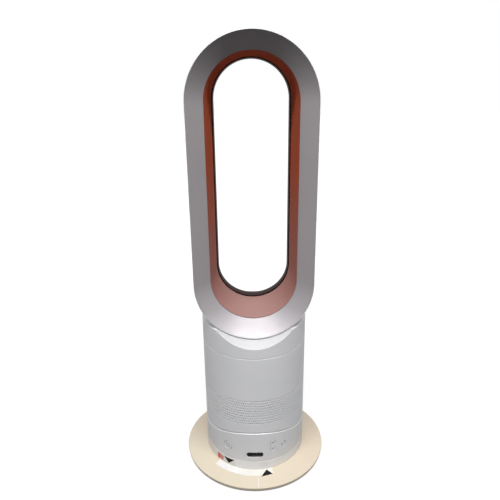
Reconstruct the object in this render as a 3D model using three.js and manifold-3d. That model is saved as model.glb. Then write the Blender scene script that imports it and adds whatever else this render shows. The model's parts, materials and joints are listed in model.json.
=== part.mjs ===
// Bladeless fan with a racetrack-shaped air loop on a round, tilting and oscillating body.
// Millimetres, +Z up. The origin is the middle of the underside, and the front faces -Y.
import * as THREE from 'three';
import { mergeGeometries, mergeVertices } from 'three/addons/utils/BufferGeometryUtils.js';
import Module from 'manifold-3d';

const wasm = await Module();
wasm.setup();

// ---------- driving dimensions ----------

const SEAT = 0.3; // gap between pieces that rest on or in each other
const SLOP = 10; // how far a cutting shape runs past what it cuts
const NIP = 2; // how far a slot through a curved plate runs past it
const BITE = 0.5; // how deep a boss or block sinks into what it grows from
const FLATNESS = 0.002; // how far a cut face's spare corners may lie off it

// the body is one tube, cut by seams; each height is counted from the seam below it
const BODY_RADIUS = 71.4;
const BODY_WALL = 2.2;
const COLLAR_HEIGHT = 13.1;
const LOWER_BODY_SIDE = 32;
const MAIN_BODY_SIDE = 131.3;
const NECK_HEIGHT = 32.1;
const LOOP_LIFT = 16.2;

// air loop: two half circles joined by straight sides
const LOOP_RADIUS = 76.5;
const LOOP_STRAIGHT = 221.5;
const LOOP_FRONT = -47;
const LOOP_BACK = 50;
const LOOP_WALL = 2.4;
const LOOP_BACK_ROUND = 12;
const RIM_WIDTH = 1.5;
const RIM_ROUND = 0.7;
const RIM_HEM = 6;
const RIM_HEM_STEP = 1;
const BEVEL_INSET = 20.7;
const BEVEL_DEPTH = 18.7;
const BEVEL_WALL = 1.8;
const BEVEL_SKIRT = 4;
const DUCT_WALL = 1.6;
const DUCT_INSET = 26.4;
const DUCT_BACK = 28;
const DUCT_CURL = 3;
const LIP_INSET = 28.6;
const LIP_NARROW = 35.7;
const LIP_WALL = 1.3;
const LIP_REACH = 5;
const LIP_LEAN = 1.2;
const LIP_TIP = 0.5;
const LIP_BACK_INSET = 20;

// neck under the loop
const SCOOP_GAP = 1.6;
const SCOOP_BACK = 6;
const SADDLE_WALL = 2.4;
const AIRWAY_WIDTH = 52;
const AIRWAY_FRONT = -26;
const AIRWAY_BACK = 36;
const COUPLING_THICK = 2.7;
const COUPLING_DEPTH = 4.3;
const COUPLING_RISE = 7.7;
const GROOVE_DEPTH = 1.3;
const GROOVE_HALF = 1.7;

// tilt: the seam is part of a cylinder about the tilt axis
const TILT_SEAM_RADIUS = 165;
const TILT_SEAM_GAP = 0.5;
const TILT_PLATE = 2.4;
const TILT_RANGE = 10;
const RAIL_OFFSET = 22;
const RAIL_STEM = 4.4;
const RAIL_FLANGE = 12;
const RAIL_FLANGE_THICK = 2.6;
const RAIL_HALF_ANGLE = 7;
const RAIL_END_SPARE = 1;
const RAIL_SEAT_ANGLE = 0.15;

// air intake, a band of holes round the main body
const INTAKE_LIFT = 30.8;
const INTAKE_HEIGHT = 36.9;
const INTAKE_ROWS = 3;
const INTAKE_HOLE_WIDTH = 6;
const INTAKE_HOLE_HEIGHT = 9;

// blower: heights are counted up from the tray's curved plate, and down from the neck
const SUPPORT_INSET = 19.2;
const SUPPORT_POST = 4.5;
const SUPPORT_BOSS = 6;
const SUPPORT_BOSS_RISE = 0.4;
const SUPPORT_HEIGHT = 11.4;
const TRAY_RIM_RISE = 5;
const INLET_FLANGE_INSET = 7.2;
const INLET_WALL = 2.2;
const INLET_HEIGHT = 18;
const BELL_WIDTH = 15;
const THROAT_RADIUS = 36.2;
const HOUSING_INSET = 9.2;
const HOUSING_WALL = 2;
const HOUSING_FLANGE = 2.2;
const HOUSING_DROP = 8.1;
const SHROUD_RISE = 29;
const SHROUD_MOUTH = 39.9;
const SHROUD_LIP = 2.7;
const SHROUD_EDGE = 1.6;
const SHROUD_FOOT = 4.8;
const SEAL_WIDTH = 6.9;
const SEAL_BASE = 1.5;
const SEAL_LIP = 3;
const SEAL_LIP_THICK = 1.1;
const BLADE_COUNT = 9;
const BLADE_WALL = 1.3;
const BLADE_WRAP = 50;
const BLADE_LEAD = 1.5;
const TIP_GAP = 1.6;
const IMPELLER_SINK = 4;
const IMPELLER_RISE = 29.5;
const IMPELLER_RIM = 2.5;
const IMPELLER_HUB = 41;
const HUB_NOSE = 10;
const HUB_KNEE = 22;
const HUB_KNEE_RISE = 10;
const HUB_SHELL = 3.5;
const HUB_SLEEVE = 9;
const HUB_SLEEVE_SINK = 8;
const HUB_SLEEVE_RISE = 16;
const SHAFT_RADIUS = 3;
const SHAFT_SHORT = 1;
const SHAFT_END = 1.5;

// motor in its bucket above the impeller
const BUCKET_GAP = 1.5;
const BUCKET_RADIUS = 40;
const BUCKET_WALL = 2;
const BUCKET_CHAMFER = 4;
const BUCKET_LOWER_HEIGHT = 21;
const BUCKET_SKIRT = 6;
const BUCKET_DOME = 15.7;
const VANE_COUNT = 9;
const VANE_WALL = 1.6;
const VANE_HEIGHT = 6;
const VANE_GAP = 0.5;
const STATOR_RADIUS = 30;
const STATOR_LIFT = 6;
const STATOR_HEIGHT = 15;
const STATOR_TEETH = 9;
const STATOR_YOKE = 6;
const STATOR_TIP = 3;
const TOOTH_STEM = 0.45; // shares of the room that one tooth has
const TOOTH_NECK = 0.6;
const TOOTH_TIP = 0.85;
const AIR_GAP = 0.8;
const ROTOR_RADIUS = 11.7;
const ROTOR_SHORT = 0.5;
const BEARING_RADIUS = 7.7;
const BEARING_HEIGHT = 3;
const BEARING_LIFT = 6.5;
const BEARING_SHOULDER = 0.5;

// heaters, one in each straight side of the loop
const HEATER_FRONT = -22;
const HEATER_BACK = 32;
const HEATER_DEPTH = 15.5;
const HEATER_WALL = 1.8;
const HEATER_RECESS = 2;
const HEATER_END_SPARE = 4;
const FIN_COUNT = 12;
const FIN_THICK = 1;
const HEATER_BAR = 2.4;

// lower body: heights are counted from the seam above the collar
const FLOOR_THICK = 3.5;
const BUTTON_FLANGE = 1;
const BUTTON_TRAVEL = 0.8;
const BUTTON_BACK_GAP = 1;
const BUTTON_SINK = 0.15;
const BUTTON_EDGE = 0.4;
const PLUNGER_RADIUS = 1.5;
const PLUNGER_LENGTH = 1.6;
const POWER_BUTTON = { azimuth: -33, lift: 20, radius: 6.2 };
const UP_BUTTON = { azimuth: 19.3, lift: 28.6, radius: 3.7 };
const DOWN_BUTTON = { azimuth: 19.3, lift: 18.7, radius: 3.7 };
const OSCILLATION_BUTTON = { azimuth: 33, lift: 21, radius: 3.7 };
const DISPLAY_AZIMUTH = -1;
const DISPLAY_LIFT = 11.8;
const DISPLAY_WIDTH = 24;
const DISPLAY_TALL = 8;
const DISPLAY_SINK = 0.1;
const DIGITS_WIDTH = 18;
const DIGITS_TALL = 6;
const DIGITS_DEPTH = 3.2;
const BOARD_THICK = 1.6;
const DISPLAY_BOARD_INSET = 5;
const DISPLAY_BOARD_WIDTH = 34;
const DISPLAY_BOARD_MARGIN = 10;
const SWITCH_SIZE = 6;
const SWITCH_GAP = 0.2;
const SWITCH_BOARD_INSET = 9.2;
const SWITCH_BOARD_SIDE = 6.8;
const SWITCH_BOARD_MARGIN = 4;
const CONTROL_BOARD_INSET = 29.2;
const CONTROL_BOARD_SIDE = 13.3;
const CONTROL_BOARD_HEIGHT = 26;
const COMPONENT_LIFT = 3;
const RELAY = { x: [-30, -12], deep: 14, tall: 15 };
const TRANSFORMER = { x: [6, 26], deep: 18, tall: 17 };

// base
const BASE_RADIUS = 101.4;
const BASE_RIM_HEIGHT = 5.7;
const BASE_RIM_DRAFT = 1;
const BASE_EDGE = 0.9;
const BASE_CROWN_RISE = 4.4;
const BASE_WALL = 2.2;
const PLATE_SHOULDER = 1.6;
const PLATE_FLANGE = 7.9;
const FOOT_HEIGHT = 1.2;
const FOOT_RADIUS = 7;
const FOOT_INSET = 15.4;
const FOOT_COUNT = 4;
const TRAY_THICK = 2.5;
const TRAY_RING = 4;
const COLLAR_FLANGE = 10.9;
const SHELF_WIDTH = 10.7;
const SHELF_THICK = 2;
const SHELF_DROP = 2.8;
const SLIDE_SPARE = 1.5;
const SPINDLE_RADIUS = 10;
const SPINDLE_WALL = 2.5;
const SPINDLE_LIFT = 2;
const SPINDLE_GROOVE = 1.4;
const SPINDLE_GROOVE_LIFT = 1.9;
const SPINDLE_GROOVE_HEIGHT = 2;
const RETAINING_RING = 14.5;
const RETAINING_THICK = 1.4;
const RETAINING_OPENING = 40;
const HUB_WALL = 3.7;
const HUB_DROP = 4;
const HUB_SHOULDER_LIFT = 11.5;
const RING_POCKET_SPARE = 1.5;
const RING_POCKET_HEIGHT = 6.2;
const RING_POCKET_WALL = 2.5;

// screws
const SCREW_RADIUS = 1.3;
const SCREW_HEAD = 3;
const SCREW_CLEARANCE = 0.3;
const SCREW_BOSS = 3.6;
const BASE_SCREW_INSET = 5.4;
const BASE_SCREW_LENGTH = 14.5;
const BASE_SCREW_HEAD = 2;
const BASE_SCREW_AZIMUTHS = [60, 120, 270];
const FLOOR_BOSS = 4.8;
const FLOOR_BOSS_HEIGHT = 9.7;
const FLOOR_SCREW_INSET = 4.4;
const FLOOR_SCREW_LENGTH = 11;
const FLOOR_SCREW_HEAD = 1.4;
const FLOOR_SCREW_SINK = 1.9;
const FLOOR_SCREW_AZIMUTHS = [70, 180, 290];

// cord inlet at the back of the collar
const GLAND_RADIUS = 5;
const GLAND_LIFT = 6.4;
const GLAND_FLANGE = 1;
const GLAND_INNER_LENGTH = 5.2;
const GLAND_OUTER_THICK = 1.2;
const GLAND_NOSE = 3;
const GLAND_NOSE_WALL = 0.6;
const GLAND_WALL_SPARE = 0.5;
const GLAND_NOTCH_SPARE = 2.5;
const CORD_RADIUS = 3.3;

// gears between the base and the oscillation motor
const GEAR_MODULE = 1.5;
const GEAR_PRESSURE_ANGLE = 20;
const GEAR_ADDENDUM = 0.9; // in modules
const GEAR_DEDENDUM = 1.25;
const GEAR_BACKLASH = 0.35;
const GEAR_THICK = 6;
const FIXED_TEETH = 30;
const PINION_TEETH = 12;
const PINION_SHORT = 0.5;
const PINION_SHAFT = 2.5;
const PINION_HOLE_SPARE = 1.5;
const PINION_SHAFT_REACH = 9.7;
const MOTOR_RADIUS = 17;
const MOTOR_HEIGHT = 15;
const MOTOR_CAP = 4;

// smoothness
const BODY_STEPS = 40;
const BASE_STEPS = 48;
const INNER_STEPS = 24;
const SMALL_STEPS = 12;
const ROUND_STEPS = 16;
const SCREW_STEPS = 8;
const LOOP_STEPS = 16;
const TILT_STEPS = 96;
const RAIL_STEPS = 4;
const BLADE_STEPS = 6;
const PROFILE_STEPS = 4;

// ---------- worked out from them ----------

const TRAY_BOTTOM = FOOT_HEIGHT + SEAT;
const TRAY_TOP = TRAY_BOTTOM + TRAY_THICK;
const BASE_RIM_TOP = TRAY_BOTTOM + BASE_RIM_HEIGHT;
const BASE_CROWN = BASE_RIM_TOP + BASE_CROWN_RISE;
const PLATE_FLANGE_LOW = BASE_CROWN - BASE_WALL;
const COLLAR_BOTTOM = BASE_CROWN + SEAT;
const COLLAR_SEAM = COLLAR_BOTTOM + COLLAR_HEIGHT;
const SHELF_TOP = COLLAR_SEAM - SHELF_DROP;
const SHELF_LOW = SHELF_TOP - SHELF_THICK;
const GLAND_HEIGHT = COLLAR_BOTTOM + GLAND_LIFT;
const HUB_RADIUS = SPINDLE_RADIUS + SEAT + HUB_WALL;
const HUB_SHOULDER = TRAY_BOTTOM + HUB_SHOULDER_LIFT;
const HUB_TOP = COLLAR_SEAM - HUB_DROP;
const GEAR_BOTTOM = HUB_SHOULDER + SEAT;
const GEAR_DISTANCE = (GEAR_MODULE * (FIXED_TEETH + PINION_TEETH)) / 2;
const SPINDLE_BOTTOM = TRAY_BOTTOM + SPINDLE_LIFT;
const SPINDLE_GROOVE_LOW = SPINDLE_BOTTOM + SPINDLE_GROOVE_LIFT;
const SPINDLE_GROOVE_FLOOR = SPINDLE_RADIUS - SPINDLE_GROOVE;

const BODY_BORE = BODY_RADIUS - BODY_WALL;
const BODY_FIT = BODY_BORE - SEAT;
const COLLAR_SHELF = BODY_BORE - SHELF_WIDTH;
const BASE_SCREW_CIRCLE = BODY_RADIUS - BASE_SCREW_INSET;
const FLOOR_SCREW_CIRCLE = BODY_BORE - FLOOR_SCREW_INSET;
const FLOOR_BOTTOM = COLLAR_SEAM + SEAT;
const FLOOR_TOP = FLOOR_BOTTOM + FLOOR_THICK;
const DISPLAY_HEIGHT = COLLAR_SEAM + DISPLAY_LIFT;
const DISPLAY_BOARD_FACE = BODY_BORE - DISPLAY_BOARD_INSET;
const SWITCH_BOARD_FACE = BODY_BORE - SWITCH_BOARD_INSET;
const CONTROL_BOARD_FACE = BODY_BORE - CONTROL_BOARD_INSET;
const BUTTON_FLANGE_FACE = BODY_BORE - BUTTON_BACK_GAP;
const PLUNGER_END = BUTTON_FLANGE_FACE - BUTTON_FLANGE - PLUNGER_LENGTH;

const TILT_SEAM_LOW = COLLAR_SEAM + LOWER_BODY_SIDE;
const TILT_AXIS_HEIGHT = TILT_SEAM_LOW + TILT_SEAM_RADIUS;
const MAIN_PLATE_RADIUS = TILT_SEAM_RADIUS - TILT_SEAM_GAP / 2;
const LOWER_PLATE_RADIUS = TILT_SEAM_RADIUS + TILT_SEAM_GAP / 2;
const MAIN_PLATE_LOW = TILT_AXIS_HEIGHT - MAIN_PLATE_RADIUS;

const NECK_SEAM = TILT_SEAM_LOW + MAIN_BODY_SIDE;
const NECK_TOP = NECK_SEAM + NECK_HEIGHT;
const LOOP_LOW_CENTRE = NECK_SEAM + LOOP_LIFT + LOOP_RADIUS;
const LOOP_HIGH_CENTRE = LOOP_LOW_CENTRE + LOOP_STRAIGHT;
const LOOP_BOTTOM = LOOP_LOW_CENTRE - LOOP_RADIUS;

// the height of the tray's curved plate, on top, at a distance in front of or behind the axis
const trayPlateAt = (y) => TILT_AXIS_HEIGHT - Math.sqrt((MAIN_PLATE_RADIUS - TILT_PLATE) ** 2 - y ** 2);
const SUPPORT_CIRCLE = BODY_BORE - SUPPORT_INSET;
const SUPPORT_BOSS_TOP = trayPlateAt(SUPPORT_CIRCLE + SUPPORT_BOSS) + SUPPORT_BOSS_RISE;
const TRAY_RIM_TOP = trayPlateAt(BODY_FIT) + TRAY_RIM_RISE;
const INLET_BOTTOM = SUPPORT_BOSS_TOP + SUPPORT_HEIGHT + 2 * SEAT;
const INLET_TOP = INLET_BOTTOM + INLET_HEIGHT;
const SHROUD_LOW = INLET_TOP + SEAT;
const SHROUD_TOP = INLET_TOP + SHROUD_RISE;
const HOUSING_RADIUS = BODY_BORE - HOUSING_INSET;
const HOUSING_BORE = HOUSING_RADIUS - HOUSING_WALL;
const HOUSING_TOP = NECK_SEAM - HOUSING_DROP;
const IMPELLER_LOW = INLET_TOP - IMPELLER_SINK;
const IMPELLER_TOP = INLET_TOP + IMPELLER_RISE;
const BUCKET_BOTTOM = IMPELLER_TOP + BUCKET_GAP;
const BUCKET_SPLIT = BUCKET_BOTTOM + BUCKET_LOWER_HEIGHT;
const BUCKET_BORE = BUCKET_RADIUS - BUCKET_WALL;
const BEARING_SEAT = BEARING_RADIUS + SEAT;
const UPPER_BEARING_LOW = BUCKET_SPLIT + BEARING_LIFT;
const STATOR_BOTTOM = BUCKET_BOTTOM + STATOR_LIFT;
const STATOR_TOP = STATOR_BOTTOM + STATOR_HEIGHT;

const radians = (degrees) => (degrees * Math.PI) / 180;

// ---------- finishes ----------

function finish(color, roughness, metalness) {
  return () => new THREE.MeshStandardMaterial({ color, roughness, metalness });
}

const silver = finish(0xb9babd, 0.32, 0.35);
const copper = finish(0x8a4a38, 0.3, 0.7);
const cream = finish(0xe5dccb, 0.4, 0);
const darkPlastic = finish(0x2b2728, 0.5, 0);
const blackGloss = finish(0x101012, 0.12, 0);
const greyPlastic = finish(0x77797c, 0.6, 0);
const whitePlastic = finish(0xe6e6e2, 0.5, 0);
const rubber = finish(0x2a2a2a, 0.9, 0);
const steel = finish(0xb4b6b8, 0.35, 1);
const aluminium = finish(0xc8cacc, 0.4, 1);
const boardGreen = finish(0x1f5b3a, 0.6, 0);
const coilCopper = finish(0xa9683a, 0.4, 0.8);

// ---------- solid helpers ----------

function toSolid(geometry) {
  const bare = geometry.clone();
  bare.deleteAttribute('normal');
  bare.deleteAttribute('uv');
  const merged = mergeVertices(bare, 1e-5);
  const corners = merged.index.array;
  const kept = [];
  for (let i = 0; i < corners.length; i += 3) {
    const [a, b, c] = [corners[i], corners[i + 1], corners[i + 2]];
    if (a !== b && b !== c && c !== a) kept.push(a, b, c);
  }
  return new wasm.Manifold(new wasm.Mesh({
    numProp: 3,
    vertProperties: new Float32Array(merged.attributes.position.array),
    triVerts: new Uint32Array(kept),
  }));
}

function toGeometry(solid) {
  const mesh = solid.asOriginal().simplify(FLATNESS).getMesh();
  const geometry = new THREE.BufferGeometry();
  geometry.setAttribute('position', new THREE.Float32BufferAttribute(mesh.vertProperties, 3));
  geometry.setIndex(Array.from(mesh.triVerts));
  geometry.computeVertexNormals();
  return geometry;
}

function signedArea(points) {
  return points.reduce((sum, [x, y], i) => {
    const [nextX, nextY] = points[(i + 1) % points.length];
    return sum + (x * nextY - nextX * y) / 2;
  }, 0);
}

const anticlockwise = (points) => (signedArea(points) > 0 ? points : [...points].reverse());

// points on an ellipse, or on a circle if both half widths are alike
function arcPoints([x, y], [halfX, halfY], from, to, steps = PROFILE_STEPS) {
  return Array.from({ length: steps + 1 }, (_, i) => {
    const angle = radians(from + ((to - from) * i) / steps);
    return [x + halfX * Math.cos(angle), y + halfY * Math.sin(angle)];
  });
}

// a profile of [radius, height] points turned about Z; it closes on itself or on the axis
function turned(profile, steps = INNER_STEPS) {
  const points = anticlockwise(profile);
  const start = points.findIndex(([r], i) => r === 0 && points.at(i - 1)[0] === 0);
  const ordered = start < 0 ? [...points, points[0]] : [...points.slice(start), ...points.slice(0, start)];
  const outline = ordered.map(([r, z]) => new THREE.Vector2(r, z));
  return toSolid(new THREE.LatheGeometry(outline, steps).rotateX(Math.PI / 2));
}

const tube = (inner, outer, low, high, steps = INNER_STEPS) =>
  turned([[inner, low], [outer, low], [outer, high], [inner, high]], steps);

const rod = (radius, low, high, steps = SMALL_STEPS) =>
  turned([[0, low], [radius, low], [radius, high], [0, high]], steps);

function box([x0, x1], [y0, y1], [z0, z1]) {
  const geometry = new THREE.BoxGeometry(x1 - x0, y1 - y0, z1 - z0);
  return toSolid(geometry.translate((x0 + x1) / 2, (y0 + y1) / 2, (z0 + z1) / 2));
}

// a shape in X and Y pushed up from one height to another
function raised(shape, low, high, curveSegments = SMALL_STEPS) {
  const options = { depth: high - low, bevelEnabled: false, curveSegments };
  return toSolid(new THREE.ExtrudeGeometry(shape, options).translate(0, 0, low));
}

// a shape in X and Z pushed along Y
function pushedBack(shape, front, back, curveSegments = SMALL_STEPS) {
  const options = { depth: back - front, bevelEnabled: false, curveSegments };
  return toSolid(new THREE.ExtrudeGeometry(shape, options).rotateX(Math.PI / 2).translate(0, back, 0));
}

function polygon(points) {
  return new THREE.Shape(points.map(([x, y]) => new THREE.Vector2(x, y)));
}

// rings of points joined to each other, closed on themselves or capped at both ends; a face
// between two rings is split along one diagonal, or along the other if its edge is listed
function swept(rings, closed, profile, otherDiagonals = []) {
  const size = rings[0].length;
  const positions = rings.flat(2);
  const faces = [];
  const count = closed ? rings.length : rings.length - 1;
  for (let i = 0; i < count; i += 1) {
    const here = i * size;
    const next = ((i + 1) % rings.length) * size;
    for (let j = 0; j < size; j += 1) {
      const k = (j + 1) % size;
      if (otherDiagonals.includes(j)) {
        faces.push(here + j, here + k, next + j, here + k, next + k, next + j);
      } else {
        faces.push(here + j, here + k, next + k, here + j, next + k, next + j);
      }
    }
  }
  if (!closed) {
    const outline = profile.map(([x, y]) => new THREE.Vector2(x, y));
    const last = (rings.length - 1) * size;
    for (const [a, b, c] of THREE.ShapeUtils.triangulateShape(outline, [])) {
      faces.push(c, b, a, last + a, last + b, last + c);
    }
  }
  const geometry = new THREE.BufferGeometry();
  geometry.setAttribute('position', new THREE.Float32BufferAttribute(positions, 3));
  geometry.setIndex(faces);
  return toSolid(geometry);
}

const atAzimuth = (solid, azimuth) => solid.rotate([0, 0, azimuth]);
const shifted = (solid, x, y, z) => solid.translate([x, y, z]);
const joined = (solids) => solids.reduce((sum, solid) => sum.add(solid));
const around = (count, first = 0) => Array.from({ length: count }, (_, i) => first + (360 * i) / count);

// copies of a solid on a circle, each carried from the front of the circle to its azimuth
const onCircle = (solid, circle, azimuths) =>
  joined(azimuths.map((azimuth) => atAzimuth(shifted(solid, 0, -circle, 0), azimuth)));

// a solid turned about the radial line at an azimuth; its heights are distances from the body's axis
function radial(solid, azimuth, height) {
  return atAzimuth(shifted(solid.rotate([90, 0, 0]), 0, 0, height), azimuth);
}

// a cylinder about the tilt axis, wide enough to cut the whole body
function tiltCylinder(radius) {
  const length = 2 * (BODY_RADIUS + SLOP);
  const geometry = new THREE.CylinderGeometry(radius, radius, length, TILT_STEPS);
  return toSolid(geometry.rotateZ(Math.PI / 2).translate(0, 0, TILT_AXIS_HEIGHT));
}

// a profile of [x, distance from the tilt axis] points swung about the tilt axis under it
function swung(profile, halfAngle, steps = RAIL_STEPS) {
  const points = anticlockwise(profile);
  const rings = Array.from({ length: steps + 1 }, (_, i) => {
    const angle = radians(-halfAngle + (2 * halfAngle * i) / steps);
    return points.map(([x, r]) => [x, r * Math.sin(angle), TILT_AXIS_HEIGHT - r * Math.cos(angle)]);
  });
  return swept(rings, false, points);
}

// ---------- loop outline ----------

// where the outline's arcs are centred and which way they face, station by station
function loopStations() {
  const half = (centre, first) =>
    Array.from({ length: LOOP_STEPS + 1 }, (_, i) => {
      const angle = first + (Math.PI * i) / LOOP_STEPS;
      return { centre, x: Math.cos(angle), z: Math.sin(angle) };
    });
  return [...half(LOOP_HIGH_CENTRE, 0), ...half(LOOP_LOW_CENTRE, Math.PI)];
}

// a profile of [inset from the outline, y] points carried once round the loop
function loopRing(profile) {
  const points = anticlockwise(profile).reverse();
  const rings = loopStations().map(({ centre, x, z }) =>
    points.map(([inset, y]) => {
      const radius = LOOP_RADIUS - inset;
      return [x * radius, y, centre + z * radius];
    }));
  return swept(rings, true);
}

// everything inside the loop's outline, grown by some clearance, between two depths;
// an arc has two segments for each of its divisions
function loopPrism(grow, front, back) {
  const shape = new THREE.Shape();
  shape.absarc(0, LOOP_HIGH_CENTRE, LOOP_RADIUS + grow, 0, Math.PI);
  shape.absarc(0, LOOP_LOW_CENTRE, LOOP_RADIUS + grow, Math.PI, 2 * Math.PI);
  return pushedBack(shape, front, back, LOOP_STEPS / 2);
}

// ---------- the loop's pieces ----------

// the airway between the neck and the loop, through both walls
function airway() {
  return box([-AIRWAY_WIDTH / 2, AIRWAY_WIDTH / 2], [AIRWAY_FRONT, AIRWAY_BACK],
    [NECK_SEAM + SLOP, LOOP_BOTTOM + SLOP]);
}

function loopOuterCasing() {
  const corner = [LOOP_BACK_ROUND, LOOP_BACK - LOOP_BACK_ROUND];
  const insideRound = LOOP_BACK_ROUND - LOOP_WALL;
  return loopRing([
    [RIM_WIDTH, LOOP_FRONT + RIM_ROUND],
    [RIM_ROUND, LOOP_FRONT],
    [0, LOOP_FRONT + RIM_ROUND],
    ...arcPoints(corner, [LOOP_BACK_ROUND, LOOP_BACK_ROUND], 180, 90),
    [LIP_BACK_INSET, LOOP_BACK],
    [LIP_BACK_INSET, LOOP_BACK - LOOP_WALL],
    ...arcPoints(corner, [insideRound, insideRound], 90, 180, PROFILE_STEPS - 1),
    [LOOP_WALL, LOOP_FRONT + RIM_HEM],
    [RIM_WIDTH, LOOP_FRONT + RIM_HEM - RIM_HEM_STEP],
  ]).subtract(airway());
}

function bevelDepthAt(inset) {
  return LOOP_FRONT + (BEVEL_DEPTH * inset) / BEVEL_INSET;
}

function loopFrontBevel() {
  const outer = RIM_WIDTH + SEAT;
  const hem = outer + BEVEL_WALL / 2;
  return loopRing([
    [outer, bevelDepthAt(outer)],
    [BEVEL_INSET, LOOP_FRONT + BEVEL_DEPTH],
    [BEVEL_INSET - BEVEL_WALL, bevelDepthAt(BEVEL_INSET) + BEVEL_WALL / 2],
    [hem, bevelDepthAt(hem) + BEVEL_WALL],
    [hem, LOOP_FRONT + BEVEL_SKIRT],
    [outer, LOOP_FRONT + BEVEL_SKIRT],
  ]);
}

function loopInnerDuct() {
  const front = LOOP_FRONT + BEVEL_DEPTH + SEAT;
  const curl = [DUCT_INSET - DUCT_CURL, DUCT_BACK];
  const inner = DUCT_CURL - DUCT_WALL;
  return loopRing([
    [BEVEL_INSET, front],
    ...arcPoints(curl, [DUCT_CURL, DUCT_CURL], 0, 90, PROFILE_STEPS / 2),
    ...arcPoints(curl, [inner, inner], 90, 0, PROFILE_STEPS / 2),
    [BEVEL_INSET - DUCT_WALL, front + DUCT_WALL],
  ]);
}

function loopOutletLip() {
  const start = LIP_BACK_INSET + SEAT;
  const centre = [start, LIP_NARROW];
  const outside = [LIP_INSET - start, LOOP_BACK - LIP_NARROW];
  const inside = [outside[0] - LIP_WALL, outside[1] - LOOP_WALL];
  return loopRing([
    ...arcPoints(centre, outside, 90, 0),
    [LIP_INSET - LIP_LEAN, LIP_NARROW - LIP_REACH],
    [LIP_INSET - LIP_LEAN - LIP_TIP, LIP_NARROW - LIP_REACH],
    ...arcPoints(centre, inside, 0, 90),
  ]);
}

// the space for a heater in the right-hand side: x and z limits of the frame's outside
function heaterFrameLimits() {
  const outer = LOOP_RADIUS - LOOP_WALL - SEAT;
  return {
    x: [outer - HEATER_DEPTH, outer],
    z: [LOOP_LOW_CENTRE + HEATER_END_SPARE, LOOP_HIGH_CENTRE - HEATER_END_SPARE],
  };
}

const shrunk = ([low, high], by) => [low + by, high - by];
const mirrored = (solid, side) => (side < 0 ? solid.mirror([1, 0, 0]) : solid);

function heaterFrame(side) {
  const { x, z } = heaterFrameLimits();
  const frame = box(x, [HEATER_FRONT, HEATER_BACK], z);
  const hole = box(shrunk(x, HEATER_WALL), [HEATER_FRONT - SLOP, HEATER_BACK + SLOP], shrunk(z, HEATER_WALL));
  return mirrored(frame.subtract(hole), side);
}

// a flat heating bar with fins to both sides, like a comb with two rows of teeth
function heaterStack(side) {
  const frame = heaterFrameLimits();
  const x = shrunk(frame.x, HEATER_WALL + SEAT);
  const z = shrunk(frame.z, HEATER_WALL + SEAT);
  const middle = (x[0] + x[1]) / 2;
  const pitch = (z[1] - z[0] - FIN_THICK) / (FIN_COUNT - 1);
  const edge = (tip, bar, steps) => steps.flatMap((i) => {
    const low = z[0] + pitch * i;
    const fin = [[bar, low], [tip, low], [tip, low + FIN_THICK], [bar, low + FIN_THICK]];
    return tip > bar ? fin : fin.reverse();
  });
  const upwards = Array.from({ length: FIN_COUNT }, (_, i) => i);
  const outline = [
    ...edge(x[1], middle + HEATER_BAR / 2, upwards),
    ...edge(x[0], middle - HEATER_BAR / 2, [...upwards].reverse()),
  ];
  const stack = pushedBack(polygon(outline), HEATER_FRONT + HEATER_RECESS, HEATER_BACK - HEATER_RECESS);
  return mirrored(stack, side);
}

// ---------- neck ----------

function loopNeck() {
  const low = NECK_SEAM + SEAT / 2;
  const scoopBack = LOOP_FRONT + SCOOP_BACK;
  const scoop = loopPrism(SCOOP_GAP, -BODY_RADIUS - SLOP, scoopBack);
  const seat = loopPrism(SEAT, scoopBack - SLOP, LOOP_BACK + SEAT);
  const saddle = loopPrism(SCOOP_GAP + SADDLE_WALL, -BODY_RADIUS - SLOP, LOOP_BACK + SEAT + SADDLE_WALL);
  const bore = rod(BODY_BORE, low - SLOP, NECK_TOP - BODY_WALL, BODY_STEPS);
  return rod(BODY_RADIUS, low, NECK_TOP, BODY_STEPS)
    .subtract(bore.subtract(saddle))
    .subtract(scoop)
    .subtract(seat)
    .subtract(airway());
}

// a sleeve inside the neck and the main body, with a groove for the seal at their seam
function couplingRing() {
  const inner = BODY_FIT - COUPLING_THICK;
  const groove = BODY_FIT - GROOVE_DEPTH;
  return turned([
    [inner, NECK_SEAM - COUPLING_DEPTH], [BODY_FIT, NECK_SEAM - COUPLING_DEPTH],
    [BODY_FIT, NECK_SEAM - GROOVE_HALF], [groove, NECK_SEAM - GROOVE_HALF],
    [groove, NECK_SEAM + GROOVE_HALF], [BODY_FIT, NECK_SEAM + GROOVE_HALF],
    [BODY_FIT, NECK_SEAM + COUPLING_RISE], [inner, NECK_SEAM + COUPLING_RISE],
  ]);
}

function neckSeal() {
  const half = GROOVE_HALF - SEAT;
  return tube(BODY_FIT - GROOVE_DEPTH + SEAT, BODY_FIT, NECK_SEAM - half, NECK_SEAM + half);
}

// ---------- main body ----------

const SUPPORT_AZIMUTHS = around(3);

// the intake holes: one column on the middle of each facet of the casing
function intakeHoles() {
  const low = TILT_SEAM_LOW + INTAKE_LIFT;
  const pitch = INTAKE_HEIGHT / INTAKE_ROWS;
  const hole = new THREE.CylinderGeometry(1 / 2, 1 / 2, 3 * BODY_WALL, 4, 1);
  hole.scale(INTAKE_HOLE_WIDTH, 1, INTAKE_HOLE_HEIGHT);
  const holes = [];
  for (const azimuth of around(BODY_STEPS, 180 / BODY_STEPS)) {
    for (let row = 0; row < INTAKE_ROWS; row += 1) {
      const height = low + pitch * (row + 1 / 2);
      holes.push(hole.clone().translate(0, -BODY_RADIUS, height).rotateZ(radians(azimuth)));
    }
  }
  return toSolid(mergeGeometries(holes));
}

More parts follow.
